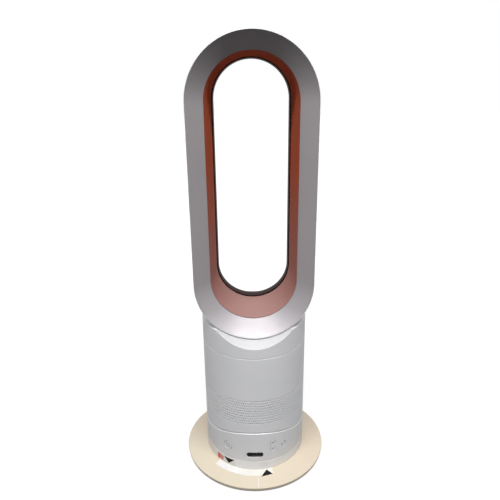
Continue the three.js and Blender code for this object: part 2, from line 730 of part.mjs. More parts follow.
function mainBodyCasing() {
  const top = NECK_SEAM - SEAT / 2;
  const upper = rod(BODY_RADIUS + SLOP, TILT_AXIS_HEIGHT - SLOP, TILT_AXIS_HEIGHT + SLOP);
  return tube(BODY_BORE, BODY_RADIUS, MAIN_PLATE_LOW - SLOP, top, BODY_STEPS)
    .intersect(tiltCylinder(MAIN_PLATE_RADIUS).add(upper))
    .subtract(intakeHoles());
}

// the two slots that the tilt rails pass through
function railSlots(low, high, halfAngle) {
  const half = RAIL_STEM / 2 + SEAT;
  const slot = swung([[-half, low], [half, low], [half, high], [-half, high]], halfAngle, 2 * RAIL_STEPS);
  return shifted(slot, RAIL_OFFSET, 0, 0).add(shifted(slot, -RAIL_OFFSET, 0, 0));
}

function mainBodyTray() {
  const low = MAIN_PLATE_LOW - SLOP;
  const plateTop = MAIN_PLATE_RADIUS - TILT_PLATE;
  const shell = rod(BODY_FIT, low, TRAY_RIM_TOP, BODY_STEPS);
  const hollow = rod(BODY_FIT - BODY_WALL, low, TRAY_RIM_TOP + SLOP, BODY_STEPS)
    .intersect(tiltCylinder(plateTop));
  const bosses = onCircle(rod(SUPPORT_BOSS, low, SUPPORT_BOSS_TOP), -SUPPORT_CIRCLE, SUPPORT_AZIMUTHS);
  const travel = RAIL_HALF_ANGLE + TILT_RANGE + RAIL_END_SPARE;
  return shell.subtract(hollow).add(bosses)
    .intersect(tiltCylinder(MAIN_PLATE_RADIUS))
    .subtract(railSlots(plateTop - NIP, MAIN_PLATE_RADIUS + NIP, travel));
}

function housingSupport() {
  const low = SUPPORT_BOSS_TOP + SEAT;
  return shifted(rod(SUPPORT_POST, low, low + SUPPORT_HEIGHT), 0, SUPPORT_CIRCLE, 0);
}

// a flat flange that turns up into a bell-shaped mouth
function inletMember() {
  const centre = [THROAT_RADIUS + BELL_WIDTH, INLET_TOP];
  const under = [BELL_WIDTH, INLET_HEIGHT];
  const over = [BELL_WIDTH - INLET_WALL, INLET_HEIGHT - INLET_WALL];
  const flange = BODY_BORE - INLET_FLANGE_INSET;
  return turned([
    [flange, INLET_BOTTOM],
    [flange, INLET_BOTTOM + INLET_WALL],
    ...arcPoints(centre, over, 270, 180),
    ...arcPoints(centre, under, 180, 270),
  ]);
}

function impellerHousing() {
  const low = INLET_BOTTOM + INLET_WALL + SEAT;
  const flange = HOUSING_TOP - HOUSING_FLANGE;
  return turned([
    [HOUSING_BORE, low], [HOUSING_RADIUS, low], [HOUSING_RADIUS, flange],
    [BODY_FIT, flange], [BODY_FIT, HOUSING_TOP], [HOUSING_BORE, HOUSING_TOP],
    [HOUSING_BORE, SHROUD_TOP], [SHROUD_MOUTH, SHROUD_LOW + SHROUD_LIP], [SHROUD_MOUTH, SHROUD_LOW],
    [SHROUD_MOUTH + SHROUD_EDGE, SHROUD_LOW], [HOUSING_BORE, SHROUD_TOP - SHROUD_FOOT],
  ]);
}

function lipSeal() {
  const low = HOUSING_TOP + SEAT;
  const inner = BODY_FIT - SEAL_WIDTH;
  const lip = BODY_FIT - SEAL_LIP_THICK;
  return turned([
    [inner, low], [BODY_FIT, low], [BODY_FIT, low + SEAL_LIP],
    [lip, low + SEAL_LIP], [lip, low + SEAL_BASE], [inner, low + SEAL_BASE],
  ]);
}

// the shroud's inner radius at a height
function shroudRadiusAt(height) {
  const mouth = SHROUD_LOW + SHROUD_LIP;
  const share = (height - mouth) / (SHROUD_TOP - mouth);
  return SHROUD_MOUTH + (HOUSING_BORE - SHROUD_MOUTH) * share;
}

// the outside of the impeller's hub from its nose to its rim
const HUB_LINE = [
  [HUB_NOSE, IMPELLER_LOW],
  [HUB_KNEE, IMPELLER_LOW + HUB_KNEE_RISE],
  [IMPELLER_HUB, IMPELLER_TOP - IMPELLER_RIM],
];

function hubRadiusAt(height) {
  const i = height < HUB_LINE[1][1] ? 0 : 1;
  const [r0, z0] = HUB_LINE[i];
  const [r1, z1] = HUB_LINE[i + 1];
  return r0 + ((r1 - r0) * (height - z0)) / (z1 - z0);
}

function impellerBlade() {
  const low = INLET_TOP - BLADE_LEAD;
  const high = IMPELLER_TOP - IMPELLER_RIM - BITE;
  const half = BLADE_WALL / 2;
  const rings = Array.from({ length: BLADE_STEPS + 1 }, (_, i) => {
    const height = low + ((high - low) * i) / BLADE_STEPS;
    const angle = radians((BLADE_WRAP * i) / BLADE_STEPS);
    const root = hubRadiusAt(height) - 2 * BITE;
    const tip = (height < INLET_TOP ? THROAT_RADIUS : shroudRadiusAt(height)) - TIP_GAP;
    const at = (radius, side) => [
      radius * Math.sin(angle) + side * Math.cos(angle),
      -radius * Math.cos(angle) + side * Math.sin(angle),
      height,
    ];
    return [at(tip, -half), at(tip, half), at(root, half), at(root, -half)];
  });
  const backFace = 3;
  return swept(rings, false, [[0, 0], [1, 0], [1, 1], [0, 1]], [backFace]);
}

function impeller() {
  const bore = SHAFT_RADIUS + SEAT;
  const sleeveTop = IMPELLER_LOW + HUB_SLEEVE_RISE;
  const hub = turned([
    [bore, IMPELLER_LOW], ...HUB_LINE, [IMPELLER_HUB, IMPELLER_TOP],
    [IMPELLER_HUB - HUB_SHELL, IMPELLER_TOP],
    [HUB_KNEE - HUB_SHELL, IMPELLER_LOW + HUB_KNEE_RISE + HUB_SHELL],
    [HUB_SLEEVE, IMPELLER_LOW + HUB_SLEEVE_SINK], [HUB_SLEEVE, sleeveTop], [bore, sleeveTop],
  ]);
  return joined([hub, ...around(BLADE_COUNT).map((azimuth) => atAzimuth(impellerBlade(), azimuth))]);
}

function motorRotor() {
  const bottom = IMPELLER_LOW + SHAFT_SHORT;
  const low = STATOR_BOTTOM + ROTOR_SHORT;
  const high = STATOR_TOP - ROTOR_SHORT;
  const top = UPPER_BEARING_LOW + BEARING_HEIGHT + SHAFT_END;
  return turned([
    [0, bottom], [SHAFT_RADIUS, bottom], [SHAFT_RADIUS, low], [ROTOR_RADIUS, low],
    [ROTOR_RADIUS, high], [SHAFT_RADIUS, high], [SHAFT_RADIUS, top], [0, top],
  ], ROUND_STEPS);
}

function motorStator() {
  const root = STATOR_RADIUS - STATOR_YOKE;
  const inner = ROTOR_RADIUS + AIR_GAP;
  const half = 180 / STATOR_TEETH;
  const shape = new THREE.Shape();
  shape.absarc(0, 0, STATOR_RADIUS, 0, 2 * Math.PI);
  const tooth = (azimuth) => {
    const place = ([radius, share]) => {
      const angle = radians(azimuth + share * half);
      return new THREE.Vector2(radius * Math.cos(angle), radius * Math.sin(angle));
    };
    const side = [[root, TOOTH_STEM], [inner + STATOR_TIP, TOOTH_NECK], [inner, TOOTH_TIP]];
    const otherSide = side.map(([radius, share]) => [radius, -share]);
    return [...otherSide, ...side.reverse(), [root, 1]].map(place);
  };
  shape.holes.push(new THREE.Path(around(STATOR_TEETH).flatMap(tooth)));
  return raised(shape, STATOR_BOTTOM, STATOR_TOP);
}

function motorSleeve() {
  return tube(STATOR_RADIUS + SEAT, BUCKET_BORE - SEAT, STATOR_BOTTOM, STATOR_TOP - ROTOR_SHORT);
}

function motorBearing(low) {
  return tube(SHAFT_RADIUS + SEAT, BEARING_RADIUS, low, low + BEARING_HEIGHT, ROUND_STEPS);
}

function motorBucketLower() {
  const low = BUCKET_BOTTOM;
  const corner = BUCKET_CHAMFER + BUCKET_WALL * (Math.SQRT2 - 1);
  return turned([
    [BEARING_SEAT, low], [BUCKET_RADIUS - BUCKET_CHAMFER, low], [BUCKET_RADIUS, low + BUCKET_CHAMFER],
    [BUCKET_RADIUS, BUCKET_SPLIT], [BUCKET_BORE, BUCKET_SPLIT], [BUCKET_BORE, low + corner],
    [BUCKET_RADIUS - corner, low + BUCKET_WALL], [BEARING_SEAT, low + BUCKET_WALL],
  ]);
}

// a domed lid with a seat for the upper bearing and a ring of straight vanes
function motorBucketUpper() {
  const low = BUCKET_SPLIT + SEAT;
  const spring = [0, low + BUCKET_SKIRT];
  const domeInside = BUCKET_DOME - BUCKET_WALL;
  const dome = turned([
    [BUCKET_BORE, low], [BUCKET_RADIUS, low],
    ...arcPoints(spring, [BUCKET_RADIUS, BUCKET_DOME], 0, 90),
    ...arcPoints(spring, [BUCKET_BORE, domeInside], 90, 0),
  ].map(([r, z]) => [Math.abs(r) < FLATNESS ? 0 : r, z]));
  const seat = tube(BEARING_SEAT, BEARING_SEAT + BUCKET_WALL,
    UPPER_BEARING_LOW - BEARING_SHOULDER, spring[1] + domeInside);
  const vane = box([-VANE_WALL / 2, VANE_WALL / 2],
    [VANE_GAP - HOUSING_BORE, BUCKET_WALL / 2 - BUCKET_RADIUS], [low, low + VANE_HEIGHT]);
  return joined([dome, seat, ...around(VANE_COUNT).map((azimuth) => atAzimuth(vane, azimuth))]);
}

// ---------- tilt rails ----------

// an I-section that holds the tray's plate between its head and the lower body's plate
function tiltRail(side) {
  const headFoot = MAIN_PLATE_RADIUS - TILT_PLATE - SEAT;
  const toe = LOWER_PLATE_RADIUS + TILT_PLATE + SEAT;
  const stem = RAIL_STEM / 2;
  const flange = RAIL_FLANGE / 2;
  const half = [
    [flange, headFoot - RAIL_FLANGE_THICK], [flange, headFoot], [stem, headFoot],
    [stem, toe], [flange, toe], [flange, toe + RAIL_FLANGE_THICK],
  ];
  const otherHalf = half.map(([x, r]) => [-x, r]).reverse();
  return shifted(swung([...half, ...otherHalf], RAIL_HALF_ANGLE), side * RAIL_OFFSET, 0, 0);
}

// ---------- lower body ----------

const heightOf = ({ lift }) => COLLAR_SEAM + lift;

// the display's outline, a pill, pushed through the front of the body
function displayPill(grow) {
  const half = DISPLAY_TALL / 2 + grow;
  const run = (DISPLAY_WIDTH - DISPLAY_TALL) / 2;
  const shape = new THREE.Shape();
  shape.absarc(run, DISPLAY_HEIGHT, half, -Math.PI / 2, Math.PI / 2);
  shape.absarc(-run, DISPLAY_HEIGHT, half, Math.PI / 2, 1.5 * Math.PI);
  const pill = pushedBack(shape, -BODY_RADIUS - SLOP, SLOP - BODY_BORE, SMALL_STEPS / 2);
  return atAzimuth(pill, DISPLAY_AZIMUTH);
}

function buttonHole(spec) {
  const hole = rod(spec.radius + SEAT, BODY_BORE - SLOP, BODY_RADIUS + SLOP, ROUND_STEPS);
  return radial(hole, spec.azimuth, heightOf(spec));
}

function lowerBodyCasing() {
  const low = COLLAR_SEAM + SEAT / 2;
  const high = TILT_AXIS_HEIGHT;
  const shell = rod(BODY_RADIUS, low, high, BODY_STEPS).subtract(tiltCylinder(LOWER_PLATE_RADIUS));
  const hollow = rod(BODY_BORE, low - SLOP, high, BODY_STEPS)
    .subtract(tiltCylinder(LOWER_PLATE_RADIUS + TILT_PLATE));
  const bossLow = FLOOR_TOP + SEAT;
  const bossTop = bossLow + FLOOR_BOSS_HEIGHT;
  const boss = tube(SCREW_RADIUS + SCREW_CLEARANCE, FLOOR_BOSS, bossLow, bossTop, SMALL_STEPS);
  const bosses = onCircle(boss, FLOOR_SCREW_CIRCLE, FLOOR_SCREW_AZIMUTHS);
  const slots = railSlots(LOWER_PLATE_RADIUS - NIP, LOWER_PLATE_RADIUS + TILT_PLATE + NIP,
    RAIL_HALF_ANGLE + RAIL_SEAT_ANGLE);
  return [POWER_BUTTON, UP_BUTTON, DOWN_BUTTON, OSCILLATION_BUTTON]
    .map(buttonHole)
    .reduce((casing, hole) => casing.subtract(hole), shell.subtract(hollow).add(bosses))
    .subtract(displayPill(SEAT))
    .subtract(slots);
}

function displayWindow() {
  const wall = tube(BODY_BORE, BODY_RADIUS - DISPLAY_SINK,
    DISPLAY_HEIGHT - DISPLAY_TALL, DISPLAY_HEIGHT + DISPLAY_TALL, BODY_STEPS);
  return displayPill(0).intersect(wall);
}

// a cap that fills its hole, with a flange behind the casing and a plunger for the switch
function button(spec) {
  const back = BUTTON_FLANGE_FACE - BUTTON_FLANGE;
  const cap = BODY_RADIUS - BUTTON_SINK;
  const { radius } = spec;
  const solid = turned([
    [0, PLUNGER_END], [PLUNGER_RADIUS, PLUNGER_END], [PLUNGER_RADIUS, back],
    [radius + BUTTON_FLANGE, back], [radius + BUTTON_FLANGE, BUTTON_FLANGE_FACE],
    [radius, BUTTON_FLANGE_FACE], [radius, cap - BUTTON_EDGE], [radius - BUTTON_EDGE, cap], [0, cap],
  ], SMALL_STEPS);
  return radial(solid, spec.azimuth, heightOf(spec));
}

// a small board that stands on the floor behind some buttons, with a switch for each
function switchBoard(buttons) {
  const azimuths = buttons.map((spec) => spec.azimuth);
  const middle = (Math.min(...azimuths) + Math.max(...azimuths)) / 2;
  const spread = radians(Math.max(...azimuths) - middle);
  const side = SWITCH_BOARD_FACE * Math.sin(spread) + SWITCH_BOARD_SIDE;
  const top = Math.max(...buttons.map(heightOf)) + SWITCH_BOARD_MARGIN;
  const face = -SWITCH_BOARD_FACE;
  const board = atAzimuth(box([-side, side], [face, face + BOARD_THICK], [FLOOR_TOP + SEAT, top]), middle);
  const reach = PLUNGER_END - BUTTON_TRAVEL - SWITCH_GAP;
  const half = SWITCH_SIZE / 2;
  const switches = buttons.map((spec) => {
    const height = heightOf(spec);
    const body = box([-half, half], [-reach, face + BOARD_THICK / 2], [height - half, height + half]);
    return atAzimuth(body, spec.azimuth);
  });
  return joined([board, ...switches]);
}

function displayBoard() {
  const half = DISPLAY_BOARD_WIDTH / 2;
  const board = box([-half, half], [-DISPLAY_BOARD_FACE, BOARD_THICK - DISPLAY_BOARD_FACE],
    [FLOOR_TOP + SEAT, DISPLAY_HEIGHT + DISPLAY_BOARD_MARGIN]);
  return atAzimuth(board, DISPLAY_AZIMUTH);
}

function digitDisplay() {
  const back = -DISPLAY_BOARD_FACE - SEAT;
  const digits = box([-DIGITS_WIDTH / 2, DIGITS_WIDTH / 2], [back - DIGITS_DEPTH, back],
    [DISPLAY_HEIGHT - DIGITS_TALL / 2, DISPLAY_HEIGHT + DIGITS_TALL / 2]);
  return atAzimuth(digits, DISPLAY_AZIMUTH);
}

function controlBoard() {
  const face = CONTROL_BOARD_FACE;
  const back = face + BOARD_THICK;
  const low = FLOOR_TOP + SEAT;
  const half = Math.sqrt(BODY_BORE ** 2 - back ** 2) - CONTROL_BOARD_SIDE;
  const board = box([-half, half], [face, back], [low, low + CONTROL_BOARD_HEIGHT]);
  const components = [RELAY, TRANSFORMER].map(({ x, deep, tall }) => {
    const foot = low + COMPONENT_LIFT;
    return box(x, [face - deep, face + BITE], [foot, foot + tall]);
  });
  return joined([board, ...components]);
}

// the floor of the lower body, with the hollow spindle that the body turns on
function turntableFloor() {
  const bore = SPINDLE_RADIUS - SPINDLE_WALL;
  const grooveTop = SPINDLE_GROOVE_LOW + SPINDLE_GROOVE_HEIGHT;
  const [below, above] = [FLOOR_BOTTOM - SLOP, FLOOR_TOP + SLOP];
  const floor = turned([
    [bore, SPINDLE_BOTTOM], [SPINDLE_RADIUS, SPINDLE_BOTTOM], [SPINDLE_RADIUS, SPINDLE_GROOVE_LOW],
    [SPINDLE_GROOVE_FLOOR, SPINDLE_GROOVE_LOW], [SPINDLE_GROOVE_FLOOR, grooveTop], [SPINDLE_RADIUS, grooveTop],
    [SPINDLE_RADIUS, FLOOR_BOTTOM], [BODY_FIT, FLOOR_BOTTOM], [BODY_FIT, FLOOR_TOP], [bore, FLOOR_TOP],
  ]);
  const pinionHole = shifted(rod(PINION_SHAFT + PINION_HOLE_SPARE, below, above), GEAR_DISTANCE, 0, 0);
  const screwHole = rod(SCREW_RADIUS + SCREW_CLEARANCE, below, above)
    .add(rod(SCREW_HEAD + SCREW_CLEARANCE, below, FLOOR_BOTTOM + FLOOR_SCREW_SINK));
  return floor
    .subtract(pinionHole)
    .subtract(onCircle(screwHole, FLOOR_SCREW_CIRCLE, FLOOR_SCREW_AZIMUTHS));
}

function screw(bottom, headHeight, length, circle) {
  const solid = turned([
    [0, bottom], [SCREW_HEAD, bottom], [SCREW_HEAD, bottom + headHeight],
    [SCREW_RADIUS, bottom + headHeight], [SCREW_RADIUS, bottom + length], [0, bottom + length],
  ], SCREW_STEPS);
  return shifted(solid, 0, -circle, 0);
}

function floorScrew() {
  const bottom = FLOOR_BOTTOM + FLOOR_SCREW_SINK - SEAT - FLOOR_SCREW_HEAD;
  return screw(bottom, FLOOR_SCREW_HEAD, FLOOR_SCREW_LENGTH, FLOOR_SCREW_CIRCLE);
}

// an open ring that clips into the spindle's groove under the base's hub
function spindleRetainingRing() {
  const low = SPINDLE_GROOVE_LOW + SEAT;
  const end = radians(RETAINING_OPENING / 2);
  const shape = new THREE.Shape();
  shape.absarc(0, 0, RETAINING_RING, end, 2 * Math.PI - end);
  shape.absarc(0, 0, SPINDLE_GROOVE_FLOOR + SEAT, 2 * Math.PI - end, end, true);
  return raised(shape, low, low + RETAINING_THICK);
}

function oscillationMotor() {
  const low = FLOOR_TOP + SEAT;
  const high = low + MOTOR_HEIGHT;
  const bore = PINION_SHAFT + SEAT;
  const can = turned([
    [bore, low], [MOTOR_RADIUS, low], [MOTOR_RADIUS, high],
    [0, high], [0, high - MOTOR_CAP], [bore, high - MOTOR_CAP],
  ], ROUND_STEPS);
  return shifted(can, GEAR_DISTANCE, 0, 0);
}

// ---------- gears ----------

// involute tooth outline with a few points on each flank
function gearShape(teeth, turn) {
  const pitch = (GEAR_MODULE * teeth) / 2;
  const base = pitch * Math.cos(radians(GEAR_PRESSURE_ANGLE));
  const tip = pitch + GEAR_MODULE * GEAR_ADDENDUM;
  const root = pitch - GEAR_MODULE * GEAR_DEDENDUM;
  const involute = (r) => {
    const t = Math.sqrt(Math.max(0, (r / base) ** 2 - 1));
    return t - Math.atan(t);
  };
  const halfAtPitch = Math.PI / (2 * teeth) - GEAR_BACKLASH / (2 * pitch);
  const halfAt = (r) => halfAtPitch + involute(pitch) - involute(Math.max(r, base));
  const radii = [root, pitch, tip];
  const outline = [];
  for (let i = 0; i < teeth; i += 1) {
    const middle = turn + (2 * Math.PI * i) / teeth;
    radii.forEach((r) => outline.push([r, middle - halfAt(r)]));
    [...radii].reverse().forEach((r) => outline.push([r, middle + halfAt(r)]));
  }
  return polygon(outline.map(([r, angle]) => [r * Math.cos(angle), r * Math.sin(angle)]));
}

function fixedGear() {
  const shape = gearShape(FIXED_TEETH, Math.PI / FIXED_TEETH);
  const bore = new THREE.Path();
  bore.absarc(0, 0, HUB_RADIUS + SEAT, 0, 2 * Math.PI);
  shape.holes.push(bore);
  return raised(shape, GEAR_BOTTOM, GEAR_BOTTOM + GEAR_THICK);
}

function drivePinion() {
  const low = GEAR_BOTTOM + PINION_SHORT;
  const high = GEAR_BOTTOM + GEAR_THICK - PINION_SHORT;
  const gear = raised(gearShape(PINION_TEETH, Math.PI), low, high);
  const shaft = rod(PINION_SHAFT, (low + high) / 2, FLOOR_TOP + SEAT + PINION_SHAFT_REACH);
  return shifted(gear.add(shaft), GEAR_DISTANCE, 0, 0);
}

// ---------- base ----------

function baseScrewHoles(radius, low, high) {
  return onCircle(rod(radius, low, high), BASE_SCREW_CIRCLE, BASE_SCREW_AZIMUTHS);
}

function basePlate() {
  const low = TRAY_BOTTOM + SEAT;
  const foot = BASE_RADIUS - BASE_RIM_DRAFT;
  const shell = turned([
    [foot, low], [BASE_RADIUS, BASE_RIM_TOP - BASE_EDGE], [BASE_RADIUS - BASE_EDGE, BASE_RIM_TOP],
    [BODY_RADIUS + PLATE_SHOULDER, BASE_CROWN], [BODY_RADIUS - PLATE_FLANGE, BASE_CROWN],
    [BODY_RADIUS - PLATE_FLANGE, PLATE_FLANGE_LOW], [BODY_RADIUS + PLATE_SHOULDER, PLATE_FLANGE_LOW],
    [foot - BASE_WALL / 2, BASE_RIM_TOP - BASE_WALL], [foot - BASE_WALL, low],
  ], BASE_STEPS);
  return shell.subtract(baseScrewHoles(SCREW_RADIUS + SCREW_CLEARANCE, 0, COLLAR_SEAM));
}

// the base's underside, with a ring wall under the collar and the hub for the spindle
function baseTray() {
  const edge = BASE_RADIUS - BASE_RIM_DRAFT - BASE_WALL - SEAT;
  const pocket = RETAINING_RING + RING_POCKET_SPARE;
  const pocketTop = TRAY_BOTTOM + RING_POCKET_HEIGHT;
  const wall = [BASE_SCREW_CIRCLE - TRAY_RING, BASE_SCREW_CIRCLE + TRAY_RING];
  const wallTop = PLATE_FLANGE_LOW - SEAT;
  const bore = SPINDLE_RADIUS + SEAT;
  const disc = turned([
    [pocket, TRAY_BOTTOM], [edge, TRAY_BOTTOM], [edge, TRAY_TOP], [wall[1], TRAY_TOP], [wall[1], wallTop],
    [wall[0], wallTop], [wall[0], TRAY_TOP], [pocket + RING_POCKET_WALL, TRAY_TOP],
    [pocket + RING_POCKET_WALL, HUB_SHOULDER], [HUB_RADIUS, HUB_SHOULDER], [HUB_RADIUS, HUB_TOP],
    [bore, HUB_TOP], [bore, pocketTop], [pocket, pocketTop],
  ]);
  return disc
    .subtract(baseScrewHoles(SCREW_RADIUS + SCREW_CLEARANCE, 0, COLLAR_SEAM))
    .subtract(baseScrewHoles(SCREW_HEAD + SCREW_CLEARANCE, 0, TRAY_TOP));
}

// room behind the collar's wall for the cord's bushing
function cordNotch() {
  const half = GLAND_RADIUS + GLAND_NOTCH_SPARE;
  return box([-half, half], [COLLAR_SHELF - SLOP, BODY_BORE - GLAND_WALL_SPARE],
    [COLLAR_BOTTOM - SLOP, COLLAR_SEAM + SLOP]);
}

function baseCollar() {
  const top = COLLAR_SEAM - SEAT / 2;
  const flange = BODY_RADIUS - COLLAR_FLANGE;
  const flangeTop = COLLAR_BOTTOM + BASE_WALL;
  const ring = turned([
    [flange, COLLAR_BOTTOM], [BODY_RADIUS, COLLAR_BOTTOM], [BODY_RADIUS, top], [BODY_BORE, top],
    [BODY_BORE, SHELF_TOP], [COLLAR_SHELF, SHELF_TOP], [COLLAR_SHELF, SHELF_LOW], [BODY_BORE, SHELF_LOW],
    [BODY_BORE, flangeTop], [flange, flangeTop],
  ], BODY_STEPS);
  const gland = rod(GLAND_RADIUS + SEAT, COLLAR_SHELF - SLOP, BODY_RADIUS + SLOP, ROUND_STEPS);
  return ring
    .add(baseScrewHoles(SCREW_BOSS, flangeTop - BITE, SHELF_LOW + BITE))
    .subtract(baseScrewHoles(SCREW_RADIUS + SCREW_CLEARANCE, 0, SHELF_LOW - BITE))
    .subtract(cordNotch())
    .subtract(radial(gland, 180, GLAND_HEIGHT));
}

function baseScrew() {
  return screw(TRAY_TOP - SEAT - BASE_SCREW_HEAD, BASE_SCREW_HEAD, BASE_SCREW_LENGTH, BASE_SCREW_CIRCLE);
}

// a rubber bushing through the back of the collar, with a flange outside and one inside
function cordInlet() {
  const flange = GLAND_RADIUS + GLAND_FLANGE;
  const innerFace = BODY_BORE - GLAND_WALL_SPARE - SEAT;
  const outerFace = BODY_RADIUS + SEAT;
  const nose = BODY_RADIUS + GLAND_NOSE;
  const bushing = turned([
    [CORD_RADIUS, innerFace - GLAND_INNER_LENGTH], [flange, innerFace - GLAND_INNER_LENGTH],
    [flange, innerFace], [GLAND_RADIUS, innerFace], [GLAND_RADIUS, outerFace],
    [flange, outerFace], [flange, outerFace + GLAND_OUTER_THICK],
    [CORD_RADIUS + GLAND_NOSE_WALL, nose], [CORD_RADIUS, nose],
  ], ROUND_STEPS);
  return radial(bushing, 180, GLAND_HEIGHT);
}

function rubberFoot() {
  return shifted(rod(FOOT_RADIUS, 0, FOOT_HEIGHT, ROUND_STEPS), 0, FOOT_INSET - BASE_RADIUS, 0);
}

// it is open at the back, where the cord comes in
function slideBearingRing() {
  return tube(COLLAR_SHELF + SLIDE_SPARE, BODY_BORE - SLIDE_SPARE, SHELF_TOP + SEAT, COLLAR_SEAM)
    .subtract(cordNotch());
}

// ---------- assembly ----------

const fan = new THREE.Group();

function add(name, solid, material) {
  const mesh = new THREE.Mesh(toGeometry(solid), material());
  mesh.name = name;
  fan.add(mesh);
}

// one numbered copy of a piece at each azimuth
function addAround(name, azimuths, solid, material) {
  azimuths.forEach((azimuth, i) => add(`${name}_${i + 1}`, atAzimuth(solid, azimuth), material));
}

add('base_plate', basePlate(), cream);
add('base_collar', baseCollar(), silver);
add('base_tray', baseTray(), greyPlastic);
addAround('rubber_foot', around(FOOT_COUNT, 180 / FOOT_COUNT), rubberFoot(), rubber);
add('fixed_gear', fixedGear(), whitePlastic);
add('slide_bearing_ring', slideBearingRing(), whitePlastic);
add('cord_inlet', cordInlet(), rubber);
addAround('base_screw', BASE_SCREW_AZIMUTHS, baseScrew(), steel);

add('lower_body_casing', lowerBodyCasing(), silver);
add('turntable_floor', turntableFloor(), greyPlastic);
add('spindle_retaining_ring', spindleRetainingRing(), steel);
addAround('floor_screw', FLOOR_SCREW_AZIMUTHS, floorScrew(), steel);
add('oscillation_motor', oscillationMotor(), steel);
add('drive_pinion', drivePinion(), whitePlastic);
add('display_window', displayWindow(), blackGloss);
add('digit_display', digitDisplay(), darkPlastic);
add('display_board', displayBoard(), boardGreen);
add('switch_board_left', switchBoard([POWER_BUTTON]), boardGreen);
add('switch_board_right', switchBoard([UP_BUTTON, DOWN_BUTTON, OSCILLATION_BUTTON]), boardGreen);
add('control_board', controlBoard(), boardGreen);
add('power_button', button(POWER_BUTTON), silver);
add('temperature_up_button', button(UP_BUTTON), silver);
add('temperature_down_button', button(DOWN_BUTTON), silver);
add('oscillation_button', button(OSCILLATION_BUTTON), silver);
add('tilt_rail_left', tiltRail(-1), whitePlastic);
add('tilt_rail_right', tiltRail(1), whitePlastic);

add('main_body_casing', mainBodyCasing(), silver);
add('main_body_tray', mainBodyTray(), greyPlastic);
addAround('housing_support', SUPPORT_AZIMUTHS, housingSupport(), rubber);
add('inlet_member', inletMember(), whitePlastic);
add('impeller_housing', impellerHousing(), whitePlastic);
add('lip_seal', lipSeal(), rubber);
add('impeller', impeller(), greyPlastic);
add('motor_rotor', motorRotor(), steel);
add('motor_bearing_lower', motorBearing(BUCKET_BOTTOM), steel);
add('motor_bearing_upper', motorBearing(UPPER_BEARING_LOW), steel);
add('motor_stator', motorStator(), coilCopper);
add('motor_sleeve', motorSleeve(), rubber);
add('motor_bucket_lower', motorBucketLower(), whitePlastic);
add('motor_bucket_upper', motorBucketUpper(), whitePlastic);

add('coupling_ring', couplingRing(), greyPlastic);
add('neck_seal', neckSeal(), rubber);
add('loop_neck', loopNeck(), silver);
add('loop_outer_casing', loopOuterCasing(), silver);
add('loop_front_bevel', loopFrontBevel(), silver);
add('loop_inner_duct', loopInnerDuct(), copper);
add('loop_outlet_lip', loopOutletLip(), darkPlastic);
for (const [word, side] of [['left', -1], ['right', 1]]) {
  add(`heater_frame_${word}`, heaterFrame(side), whitePlastic);
  add(`heater_stack_${word}`, heaterStack(side), aluminium);
}

export default fan;
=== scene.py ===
"""Bladeless fan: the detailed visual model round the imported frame.

Metres, +Z up, front towards -Y. An azimuth is counted from the front, positive towards +X.
"""

import json
import math

import bpy
from mathutils import Matrix, Vector


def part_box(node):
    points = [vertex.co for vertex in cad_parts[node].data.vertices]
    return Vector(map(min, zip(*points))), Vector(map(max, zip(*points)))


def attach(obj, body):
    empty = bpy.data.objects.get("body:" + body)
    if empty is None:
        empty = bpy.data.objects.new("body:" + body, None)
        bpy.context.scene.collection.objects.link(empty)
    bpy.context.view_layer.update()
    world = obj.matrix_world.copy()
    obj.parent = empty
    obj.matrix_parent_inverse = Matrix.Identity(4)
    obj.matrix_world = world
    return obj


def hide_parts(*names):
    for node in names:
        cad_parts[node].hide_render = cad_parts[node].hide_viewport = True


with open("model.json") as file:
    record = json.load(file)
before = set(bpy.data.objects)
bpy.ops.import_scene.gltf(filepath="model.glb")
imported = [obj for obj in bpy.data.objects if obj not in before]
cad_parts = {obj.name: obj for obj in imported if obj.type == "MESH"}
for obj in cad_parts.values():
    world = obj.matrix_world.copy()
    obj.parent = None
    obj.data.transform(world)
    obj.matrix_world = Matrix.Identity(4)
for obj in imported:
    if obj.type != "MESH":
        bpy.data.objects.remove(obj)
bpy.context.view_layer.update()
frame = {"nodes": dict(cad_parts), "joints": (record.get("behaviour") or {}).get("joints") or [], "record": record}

MM = 0.001
UP = Vector((0, 0, 1))
ORIGIN = Vector((0, 0, 0))
TURN = 2 * math.pi
QUARTER = TURN / 4

# ---------- sizes and places, from the frame ----------

plate_low, plate_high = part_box("base_plate")
collar_low, collar_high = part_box("base_collar")
inlet_low, inlet_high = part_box("cord_inlet")
window_low, window_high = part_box("display_window")
casing_low, casing_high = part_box("main_body_casing")
neck_low, neck_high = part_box("loop_neck")
loop_low, loop_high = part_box("loop_outer_casing")
tilt_joint = next(joint for joint in frame["joints"] if joint["name"] == "tilt")

SEAM = 0.3 * MM  # the gap between two shells at a seam
SHELL_WALL = 2.2 * MM

BODY_RADIUS = casing_high.x
BODY_BORE = BODY_RADIUS - SHELL_WALL
PLATE_RADIUS = plate_high.x
COLLAR_SEAM = collar_high.z + SEAM / 2
NECK_SEAM = (casing_high.z + neck_low.z) / 2
NECK_TOP = neck_high.z
TILT_AXIS = Vector(tilt_joint["pos_m"]).z
TILT_GAP = 0.5 * MM
UPPER_TILT_RADIUS = TILT_AXIS - casing_low.z
LOWER_TILT_RADIUS = UPPER_TILT_RADIUS + TILT_GAP
TILT_PLATE = 2.4 * MM

LOOP_RADIUS = loop_high.x
LOOP_FRONT = loop_low.y
LOOP_BACK = loop_high.y
LOOP_HIGH_CENTRE = loop_high.z - LOOP_RADIUS
LOOP_LOW_CENTRE = loop_low.z + LOOP_RADIUS
BEVEL_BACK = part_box("loop_front_bevel")[1].y

